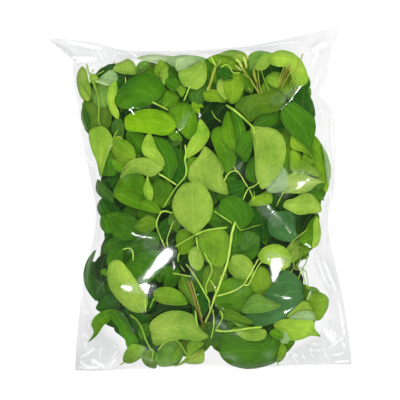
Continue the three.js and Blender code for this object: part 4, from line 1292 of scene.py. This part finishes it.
class Signal:
    """A socket that can be reckoned with: each sum or product adds its Math node."""

    def __init__(self, finish, socket):
        self.finish, self.socket = finish, socket

    def reckon(self, operation, *others):
        node = self.finish.node("ShaderNodeMath", {"operation": operation})
        for place, value in enumerate((self,) + others):
            self.finish.feed(node.inputs[place], value)
        return Signal(self.finish, node.outputs[0])

    def __add__(self, other):
        return self.reckon("ADD", other)

    def __mul__(self, other):
        return self.reckon("MULTIPLY", other)

    def __sub__(self, other):
        return self.reckon("SUBTRACT", other)

    def __truediv__(self, other):
        return self.reckon("DIVIDE", other)

    def __rsub__(self, other):
        return (self * -1) + other

    __radd__ = __add__
    __rmul__ = __mul__

    def __abs__(self):
        return self.reckon("ABSOLUTE")

    def largest(self, other):
        return self.reckon("MAXIMUM", other)

    def fraction(self):
        return self.reckon("FRACT")

    def clamped(self):
        return self.reckon("MINIMUM", 1.0).largest(0.0)


class Finish:
    """A new material, built node by node."""

    def __init__(self, name):
        self.material = bpy.data.materials.new(name)
        self.material.use_nodes = True
        self.tree = self.material.node_tree
        self.tree.nodes.clear()

    def feed(self, socket, value):
        if isinstance(value, Signal):
            self.tree.links.new(value.socket, socket)
        elif hasattr(value, "is_linked"):
            self.tree.links.new(value, socket)
        else:
            socket.default_value = value

    def node(self, kind, settings=None, values=None):
        """A node of a type, with its settings made first and then its sockets' values or links."""
        made = self.tree.nodes.new(kind)
        for name, value in (settings or {}).items():
            setattr(made, name, value)
        for name, value in (values or {}).items():
            self.feed(made.inputs[name], value)
        return made

    def signal(self, kind, settings=None, values=None, output=0):
        return Signal(self, self.node(kind, settings, values).outputs[output])

    def attribute(self, name, output):
        return self.signal("ShaderNodeAttribute", {"attribute_name": name}, output=output)

    def parts(self, vector):
        split = self.node("ShaderNodeSeparateXYZ", values={"Vector": vector})
        return [Signal(self, out) for out in split.outputs]

    def band(self, distance, full, none):
        """1 up to a distance, then down to 0."""
        values = {"Value": distance, "From Min": full, "From Max": none, "To Min": 1.0, "To Max": 0.0}
        return self.signal("ShaderNodeMapRange", {"interpolation_type": "SMOOTHSTEP"}, values)

    def blend(self, factor, first, second, how="MIX"):
        """Two colours mixed."""
        mix = self.node("ShaderNodeMix", {"data_type": "RGBA", "blend_type": how})
        self.feed(mix.inputs[0], factor)
        self.feed(mix.inputs[6], first)
        self.feed(mix.inputs[7], second)
        return Signal(self, mix.outputs[2])

    def noise(self, scale, detail=2.0, vector=None):
        values = {"Scale": scale, "Detail": detail}
        if vector is not None:
            values["Vector"] = vector
        return self.signal("ShaderNodeTexNoise", values=values)

    def edges(self, scale, vector, full, none):
        """Lines of a network, 1 in the middle of each and 0 beside it."""
        settings = {"feature": "DISTANCE_TO_EDGE"}
        distance = self.signal("ShaderNodeTexVoronoi", settings, {"Scale": scale, "Vector": vector})
        return self.band(distance, full, none)

    def place(self):
        return self.signal("ShaderNodeTexCoord", output="Object")

    def bump(self, height, strength, distance, facing=None):
        values = {"Height": height, "Strength": strength, "Distance": distance}
        if facing is not None:
            values["Normal"] = facing
        return self.signal("ShaderNodeBump", values=values)

    def gloss(self, roughness, blurred_roughness, blurred_share, normal):
        """A sharp reflection with a blurred one round it."""
        sharp, blurred = (
            self.node("ShaderNodeBsdfGlossy", values={"Color": WHITE, "Roughness": each, "Normal": normal})
            for each in (roughness, blurred_roughness)
        )
        values = {0: blurred_share, 1: sharp.outputs[0], 2: blurred.outputs[0]}
        return self.node("ShaderNodeMixShader", values=values).outputs[0]

    def output(self, shader):
        self.node("ShaderNodeOutputMaterial", values={"Surface": shader})
        return self.material


# Multipliers of a leaf's colour: darker, for darker patches and for the painted shade by its edges; lighter,
# for patches that are partly painted sheen.
DULL = (0.6, 0.76, 0.5, 1.0)
LIGHTER_PAINTED_SHEEN = (1.3, 1.2, 1.4, 1.0)
PALER = (1.35, 1.25, 1.2, 1.0)


def leaf_finish(roughness):
    """A blade with a light midrib, arched veins from the stalk and a faint net between them, painted shade
    near its edges and tip, and random patches of tone that are partly painted sheen.
    """
    leaf = Finish("leaf_blade")
    tint = leaf.attribute("tint", "Color")
    length = leaf.attribute("tint", "Alpha") * LENGTH_UNIT
    along, across, half = leaf.parts(leaf.attribute("blade", "Vector"))
    across = abs(across)
    reach = along * length
    wide = across * half
    veins = leaf.band(wide, 0.2, 1.0)
    strayed = wide + (leaf.noise(70.0, 2.0, leaf.place()) - 0.5) * 6.0
    for slope in (0.62, 1.7):
        arch = reach * (slope - along * slope * 0.4)
        veins = veins.largest(leaf.band(abs(strayed - arch), 0.15, 1.3) * 0.6)
    phase = ((reach - strayed * 0.9) / 9.0).fraction()
    veins = veins.largest(leaf.band((0.5 - abs(phase - 0.5)) * 9.0, 0.1, 0.9) * 0.3)
    from_edge = (1.0 - across) * half
    rim = leaf.band(from_edge, 0.1, 0.6)
    # painted shade: the blade darker within a few millimetres of its edges and its tip, as where neighbours
    # shade it
    painted_edge_shade = leaf.band(from_edge, 0.6, 4.5).largest(leaf.band((1.0 - along) * length, 1.0, 7.0))
    mottle = leaf.noise(300.0, 3.0, leaf.place())
    patches = leaf.noise(38.0, 2.0, leaf.place())
    light = leaf.blend(0.1, leaf.blend(1.0, tint, PALER, "MULTIPLY"), (0.62, 0.82, 0.2, 1.0))
    tint = leaf.blend(painted_edge_shade * 0.4, tint, leaf.blend(1.0, tint, DULL, "MULTIPLY"))
    colour = leaf.blend((veins * 0.5).largest(rim * 0.6), tint, light)
    # random darker and lighter patches of tone; the lighter ones are partly painted haze and sheen of the film
    dull = leaf.blend(1.0, colour, DULL, "MULTIPLY")
    lighter_painted_sheen = leaf.blend(1.0, colour, LIGHTER_PAINTED_SHEEN, "MULTIPLY")
    shade = leaf.blend((patches * 2.4 - 1.05 + mottle * 0.9).clamped(), dull, lighter_painted_sheen)
    relief = mottle * 0.8 + patches * 1.2 - veins * 0.3
    blade = leaf.node(
        "ShaderNodeBsdfPrincipled",
        values={
            "Base Color": shade,
            "Roughness": roughness,
            "Specular IOR Level": 0.1,
            "Normal": leaf.bump(relief, 0.7, 0.0014),
        },
    )
    return leaf.output(blade.outputs[0])


def stem_finish():
    """A smooth green stalk with faint lengthwise change of tone."""
    stem = Finish("stalk")
    tint = stem.attribute("tint", "Color")
    patches = stem.noise(160.0, 3.0, stem.place())
    colour = stem.blend(patches * 0.3, tint, (0.8, 0.85, 0.5, 1.0), "MULTIPLY")
    stalk = stem.node(
        "ShaderNodeBsdfPrincipled",
        values={
            "Base Color": colour,
            "Roughness": 0.4,
            "Normal": stem.bump(patches, 0.3, 0.0005),
        },
    )
    return stem.output(stalk.outputs[0])


def core_finish():
    """The tangle behind the leaves, painted near black as the shade deep in the heap."""
    core = Finish("painted_shade_tangle")
    patches = core.noise(60.0, 4.0, core.place())
    # painted shade: near-black greens in place of the shaded leaves deep in the heap
    colour = core.blend(patches, (0.004, 0.014, 0.002, 1.0), (0.012, 0.04, 0.005, 1.0))
    tangle = core.node(
        "ShaderNodeBsdfPrincipled",
        values={
            "Base Color": colour,
            "Roughness": 0.8,
            "Normal": core.bump(patches, 1.0, 0.003),
        },
    )
    return core.output(tangle.outputs[0])


CREST_GLOW = 0.25  # makes up for the studio lights that the film's white creases would mirror


def film_finish(roughness, haze):
    """Clear film: it lets most light straight through and throws back bright lights. Its margins are creased,
    and greyer where the sheets are folded. The white on the crests and in small specks is painted highlight,
    and glows a little."""
    film = Finish("clear_film")
    margin, greyer, crest = film.parts(film.attribute("tint", "Color"))
    warp_values = {"Scale": 9.0, "Detail": 2.0, "Vector": film.place()}
    warp = film.signal("ShaderNodeTexNoise", values=warp_values, output=1)
    bent = film.node("ShaderNodeVectorMath", {"operation": "MULTIPLY_ADD"}, {0: warp, 1: (0.05, 0.05, 0.05)})
    film.feed(bent.inputs[2], film.place())
    bent = Signal(film, bent.outputs[0])
    folds = film.edges(20.0, bent, 0.03, 0.12) * (film.noise(14.0, 1.0, film.place()) * 3.0 - 1.0).clamped()
    outer = (margin * 6.0).clamped()
    patches = film.noise(18.0, 3.0, film.place())
    grey_share = (folds * 0.15 + greyer + (patches - 0.5) * 0.7).clamped() * outer
    # painted highlights: small white specks scattered over the film, as of tiny glints
    painted_speck_highlights = film.signal("ShaderNodeTexVoronoi", values={"Scale": 85.0, "Vector": film.place()})
    painted_speck_highlights = film.band(painted_speck_highlights, 0.04, 0.1) * (film.noise(22.0, 1.0, film.place()) * 8.0 - 4.8).clamped()
    streaks = (film.noise(210.0, 2.0, bent) * 3.0 - 0.8).clamped()
    clear = film.node("ShaderNodeBsdfTransparent", values={"Color": (0.97, 0.973, 0.97, 1.0)})
    grey = film.node("ShaderNodeBsdfTransparent", values={"Color": (0.81, 0.812, 0.818, 1.0)})
    sheet = film.node("ShaderNodeMixShader", values={0: grey_share, 1: clear.outputs[0], 2: grey.outputs[0]})
    # a white that glows a little: painted highlight on the crests and specks, and the film's milkiness
    white = film.node(
        "ShaderNodeBsdfPrincipled",
        values={
            "Base Color": WHITE,
            "Roughness": 0.6,
            "Emission Color": WHITE,
            "Emission Strength": CREST_GLOW,
        },
    )
    painted_highlights_and_milk = (crest * outer * streaks).largest(painted_speck_highlights * 0.7) + haze
    cloudy = film.node("ShaderNodeMixShader", values={0: painted_highlights_and_milk, 1: sheet.outputs[0], 2: white.outputs[0]})
    relief = film.bump(film.noise(45.0, 2.0, film.place()) * 0.5 + folds * outer * 0.3, 0.3, 0.001)
    facing = film.signal(
        "ShaderNodeVectorTransform",
        {"vector_type": "NORMAL", "convert_from": "OBJECT", "convert_to": "WORLD"},
        {"Vector": film.attribute("blade", "Vector")},
    )
    facing = film.bump(film.noise(110.0, 3.0, film.place()), 0.16, 0.001, facing)
    film_gloss = film.gloss(0.25, 0.5, 0.3, relief)
    facet_gloss = film.gloss(roughness, 0.3, 0.5, facing)
    on_facet = (film.attribute("tint", "Alpha") * 1.4 - film.noise(330.0, 3.0, film.place()) * 0.5).clamped()
    gloss = film.node("ShaderNodeMixShader", values={0: on_facet, 1: film_gloss, 2: facet_gloss})
    throw = film.signal("ShaderNodeFresnel", values={"IOR": 1.4}) * (on_facet * 1.4 + 0.35)
    throw = throw.reckon("MINIMUM", 0.2)
    whole = film.node("ShaderNodeMixShader", values={0: throw, 1: cloudy.outputs[0], 2: gloss.outputs[0]})
    return film.output(whole.outputs[0])


# ---------------------------------------------------------------- settings and operators


class LeafBagSettings(bpy.types.PropertyGroup):
    """What a user would change."""

    seed: IntProperty(name="Seed", description="Which random heap of leaves is made", default=11, min=0)
    hidden_spacing: FloatProperty(
        name="Leaf spacing",
        description="Distance between neighbouring leaves inside the heap",
        default=0.017,
        min=0.008,
        max=0.05,
        unit="LENGTH",
    )
    leaf_roughness: FloatProperty(
        name="Leaf roughness",
        description="How dull the blades are",
        default=0.42,
        min=0.0,
        max=1.0,
        subtype="FACTOR",
    )
    film_roughness: FloatProperty(
        name="Film roughness",
        description="How blurred the lights look in the film",
        default=0.1,
        min=0.0,
        max=1.0,
        subtype="FACTOR",
    )
    film_haze: FloatProperty(
        name="Film haze",
        description="How milky the whole film is",
        default=0.004,
        min=0.0,
        max=1.0,
        subtype="FACTOR",
    )
    edge_wave: FloatProperty(
        name="Edge wave",
        description="How far the film's free edge rises and falls",
        default=0.002,
        min=0.0,
        max=0.01,
        unit="LENGTH",
    )
    floor_colour: FloatVectorProperty(
        name="Floor",
        description="Colour of the floor under the bag",
        default=(0.12, 0.12, 0.12),
        size=3,
        min=0.0,
        max=1.0,
        subtype="COLOR",
    )


def shared_leaf_finish(settings):
    return bpy.data.materials.get("leaf_blade") or leaf_finish(settings.leaf_roughness)


CORE_REACH = 0.84
CORE_TOP_SHARES = (0.15, 0.3, 0.45, 0.6, 0.72, 0.82, 0.9, 0.96)
CORE_UNDER_SHARES = (0.94, 0.85, 0.7, 0.4)
CORE_DEPTH = 26  # under the heap's upper side
CORE_LEAST_HEIGHT = RIM_HEIGHT + 3
CORE_UNDER_HEIGHT = 18.0  # over the heap's underside


class LEAFBAG_OT_core(bpy.types.Operator):
    """Makes the inner mass that closes the gaps between leaves, painted near black as the shade deep in the
    heap
    """

    bl_idname = "leaf_bag.core"
    bl_label = "Core"

    def execute(self, context):
        stations = np.arange(0, len(OUTLINE), 0.5)
        rim = closed_curve(RIM_POINTS, stations)
        rings = []
        for share in CORE_TOP_SHARES:
            plan = HEAP_CENTRE + (rim - HEAP_CENTRE) * share * CORE_REACH
            z = dome_height(share, plan[:, 0], plan[:, 1]) - CORE_DEPTH
            rings.append(np.column_stack([plan, np.maximum(z, CORE_LEAST_HEIGHT)]))
        for share in CORE_UNDER_SHARES:
            plan = HEAP_CENTRE + (rim - HEAP_CENTRE) * share * CORE_REACH
            z = np.full(len(plan), belly_height(share) + CORE_UNDER_HEIGHT)
            rings.append(np.column_stack([plan, z]))
        count = len(stations)
        top = [[*HEAP_CENTRE, float(dome_height(0.0, *HEAP_CENTRE)) - CORE_DEPTH]]
        bottom = [[*HEAP_CENTRE, CORE_UNDER_HEIGHT]]
        points = np.concatenate([top] + rings + [bottom])
        last = 1 + len(rings) * count
        faces = [(0, 1 + (i + 1) % count, 1 + i) for i in range(count)]
        for r in range(len(rings) - 1):
            for i in range(count):
                a, b = 1 + r * count + i, 1 + r * count + (i + 1) % count
                faces.append((a, b, b + count, a + count))
        faces += [(last, last - count + i, last - count + (i + 1) % count) for i in range(count)]
        shell = Shell()
        shell.add(points, faces)
        shell.piece("heap_core", core_finish(), "leaf")
        return {"FINISHED"}


class Layer(NamedTuple):
    """Leaves strewn over a ring of the heap, by a share of the usual spacing."""

    spacing: float
    ring: tuple  # inner and outer share of the way to the rim
    tones: tuple
    lengths: tuple
    press: int  # percent of a leaf's points that clear what it lies on, before the others are pushed up


HIDDEN_LAYERS = [  # lowest first
    # the near-black tone in these layers is painted shade for the deep gaps
    Layer(1, (0, 0.82), ("painted_shade_murk", "dark", "painted_shade_murk"), (28, 48), 60),
    Layer(1, (0.82, 0.97), ("mid", "dark", "deep", "fresh"), (28, 48), 60),
    Layer(1.5, (0, 0.85), ("painted_shade_murk", "deep", "painted_shade_murk", "dark", "dark", "painted_shade_murk"), (24, 44), 70),
    Layer(1.5, (0.85, 0.99), ("deep", "mid", "dark"), (24, 44), 70),
]
UNDER_TONES = ("deep", "mid", "fresh", "bright", "pale", "dark")
UNDER_LAYER = Layer(21, (0, 0.98), UNDER_TONES, (30, 52), 70)  # its spacing is in millimetres
SHOWN_PRESS = 85
COARSE_BLADE = (9, 7)  # points along and across a leaf that hardly shows
FINE_BLADE = (19, 13)


def strew(pile, shell, rng, layer, unit):
    """Lays a layer's leaves on a pile and adds them to a shell."""
    for leaf in scattered(rng, unit * layer.spacing, *layer.ring, layer.tones, layer.lengths):
        pile.lay(shell, leaf, rng, COARSE_BLADE, layer.press)


class LEAFBAG_OT_hidden_leaves(bpy.types.Operator):
    """Lays the leaves inside the heap, those that show only through gaps and at its sides"""

    bl_idname = "leaf_bag.hidden_leaves"
    bl_label = "Inner leaves"

    def execute(self, context):
        settings = context.scene.leaf_bag
        rng = np.random.default_rng(settings.seed)
        spacing = settings.hidden_spacing / MM
        shell = Shell()
        for layer in HIDDEN_LAYERS:
            strew(heap.upper, shell, rng, layer, spacing)
        shell.piece("leaves_inner", shared_leaf_finish(settings), "leaf")
        return {"FINISHED"}


class LEAFBAG_OT_shown_leaves(bpy.types.Operator):
    """Lays the leaves of the shown side, each in its own place"""

    bl_idname = "leaf_bag.shown_leaves"
    bl_label = "Shown leaves"

    def execute(self, context):
        settings = context.scene.leaf_bag
        rng = np.random.default_rng(settings.seed + 1)
        shell = Shell()
        for leaf in SHOWN_LEAVES:
            heap.upper.lay(shell, leaf, rng, FINE_BLADE, SHOWN_PRESS)
        shell.piece("leaves_shown", shared_leaf_finish(settings), "leaf")
        return {"FINISHED"}


class LEAFBAG_OT_under_leaves(bpy.types.Operator):
    """Lays the leaves of the underside"""

    bl_idname = "leaf_bag.under_leaves"
    bl_label = "Leaves of the underside"

    def execute(self, context):
        settings = context.scene.leaf_bag
        rng = np.random.default_rng(settings.seed + 2)
        shell = Shell()
        strew(heap.lower, shell, rng, UNDER_LAYER, 1)
        shell.piece("leaves_under", shared_leaf_finish(settings), "leaf")
        return {"FINISHED"}


class LEAFBAG_OT_stems(bpy.types.Operator):
    """Lays the stalks, stems, tendrils and buds over the leaves"""

    bl_idname = "leaf_bag.stems"
    bl_label = "Stems"

    def execute(self, context):
        rng = np.random.default_rng(context.scene.leaf_bag.seed + 3)
        shell = Shell()
        for stem in STEMS:
            lay_stem(heap.upper, shell, stem, rng)
        shell.piece("stems", stem_finish(), "stem")
        return {"FINISHED"}


class LEAFBAG_OT_film(bpy.types.Operator):
    """Draws the clear film over the heap"""

    bl_idname = "leaf_bag.film"
    bl_label = "Film"

    def execute(self, context):
        settings = context.scene.leaf_bag
        shell = Shell()
        shell.add(*film_mesh(settings.edge_wave / MM))
        shell.piece("film", film_finish(settings.film_roughness, settings.film_haze), "film")
        return {"FINISHED"}


class LEAFBAG_OT_stage(bpy.types.Operator):
    """Makes the floor, the lights, the surroundings and the camera"""

    bl_idname = "leaf_bag.stage"
    bl_label = "Stage"

    def floor(self, colour):
        mesh = bpy.data.meshes.new("floor")
        sides = ((-1, -1), (1, -1), (1, 1), (-1, 1))
        mesh.from_pydata([(x * FLOOR_REACH, y * FLOOR_REACH, 0) for x, y in sides], [], [(0, 1, 2, 3)])
        finish = Finish("floor")
        sheet = finish.node("ShaderNodeBsdfDiffuse", values={"Color": (*colour, 1.0)})
        glow = finish.node("ShaderNodeEmission", values={"Color": WHITE, "Strength": FLOOR_GLOW})
        both = finish.node("ShaderNodeAddShader", values={0: sheet.outputs[0], 1: glow.outputs[0]})
        mesh.materials.append(finish.output(both.outputs[0]))
        floor = bpy.data.objects.new("floor", mesh)
        bpy.context.collection.objects.link(floor)

    def light(self, name, lamp):
        data = bpy.data.lights.new(name, "AREA")
        data.shape = "RECTANGLE"
        data.size, data.size_y = lamp.size
        data.energy = lamp.power
        light = bpy.data.objects.new(name, data)
        light.location = lamp.place
        light.rotation_euler = (-Vector(lamp.place)).to_track_quat("-Z", "Y").to_euler()
        light.visible_glossy = lamp.mirrored
        bpy.context.collection.objects.link(light)

    def surroundings(self):
        """A studio that is dark straight above, where the camera is, and bright all round."""
        world = bpy.data.worlds.new("studio")
        world.use_nodes = True
        tree = world.node_tree
        tree.nodes.clear()
        place = tree.nodes.new("ShaderNodeTexCoord")
        split = tree.nodes.new("ShaderNodeSeparateXYZ")
        level = tree.nodes.new("ShaderNodeMapRange")
        level.interpolation_type = "SMOOTHSTEP"
        level.inputs["From Max"].default_value = DARK_ABOVE
        level.inputs["To Min"].default_value = STUDIO_MOST
        level.inputs["To Max"].default_value = STUDIO_LEAST
        back = tree.nodes.new("ShaderNodeBackground")
        out = tree.nodes.new("ShaderNodeOutputWorld")
        tree.links.new(place.outputs["Generated"], split.inputs[0])
        tree.links.new(split.outputs[2], level.inputs["Value"])
        tree.links.new(level.outputs[0], back.inputs["Strength"])
        tree.links.new(back.outputs[0], out.inputs[0])
        bpy.context.scene.world = world

    def camera(self):
        data = bpy.data.cameras.new("camera")
        data.sensor_width = CAMERA_SENSOR * 1000
        data.lens = CAMERA_SENSOR * 1000 * (CAMERA_HEIGHT - MARGIN_LEVEL) / VIEW_WIDTH
        data.clip_end = 20
        camera = bpy.data.objects.new("camera", data)
        camera.location = (*VIEW_CENTRE, CAMERA_HEIGHT)
        bpy.context.collection.objects.link(camera)
        bpy.context.scene.camera = camera

    def execute(self, context):
        self.floor(context.scene.leaf_bag.floor_colour)
        for name, lamp in LAMPS.items():
            self.light(name, lamp)
        self.surroundings()
        self.camera()
        context.scene.view_settings.view_transform = "Standard"
        return {"FINISHED"}


class LEAFBAG_PT_panel(bpy.types.Panel):
    """Lists the bag's pieces and settings"""

    bl_idname = "LEAFBAG_PT_panel"
    bl_label = "Leaf Bag"
    bl_space_type = "VIEW_3D"
    bl_region_type = "UI"
    bl_category = "Leaf Bag"

    def draw(self, context):
        for name in LeafBagSettings.__annotations__:
            self.layout.prop(context.scene.leaf_bag, name)
        for operator in OPERATORS:
            self.layout.operator(operator.bl_idname)


OPERATORS = (
    LEAFBAG_OT_stage,
    LEAFBAG_OT_core,
    LEAFBAG_OT_hidden_leaves,
    LEAFBAG_OT_shown_leaves,
    LEAFBAG_OT_under_leaves,
    LEAFBAG_OT_stems,
    LEAFBAG_OT_film,
)
CLASSES = (LeafBagSettings,) + OPERATORS + (LEAFBAG_PT_panel,)


def register():
    for each in CLASSES:
        bpy.utils.register_class(each)
    bpy.types.Scene.leaf_bag = bpy.props.PointerProperty(type=LeafBagSettings)


def unregister():
    del bpy.types.Scene.leaf_bag
    for each in reversed(CLASSES):
        bpy.utils.unregister_class(each)


def main():
    register()
    bpy.ops.leaf_bag.stage()
    bpy.ops.leaf_bag.core()
    bpy.ops.leaf_bag.hidden_leaves()
    bpy.ops.leaf_bag.shown_leaves()
    bpy.ops.leaf_bag.under_leaves()
    bpy.ops.leaf_bag.stems()
    bpy.ops.leaf_bag.film()


if __name__ == "__main__":
    main()
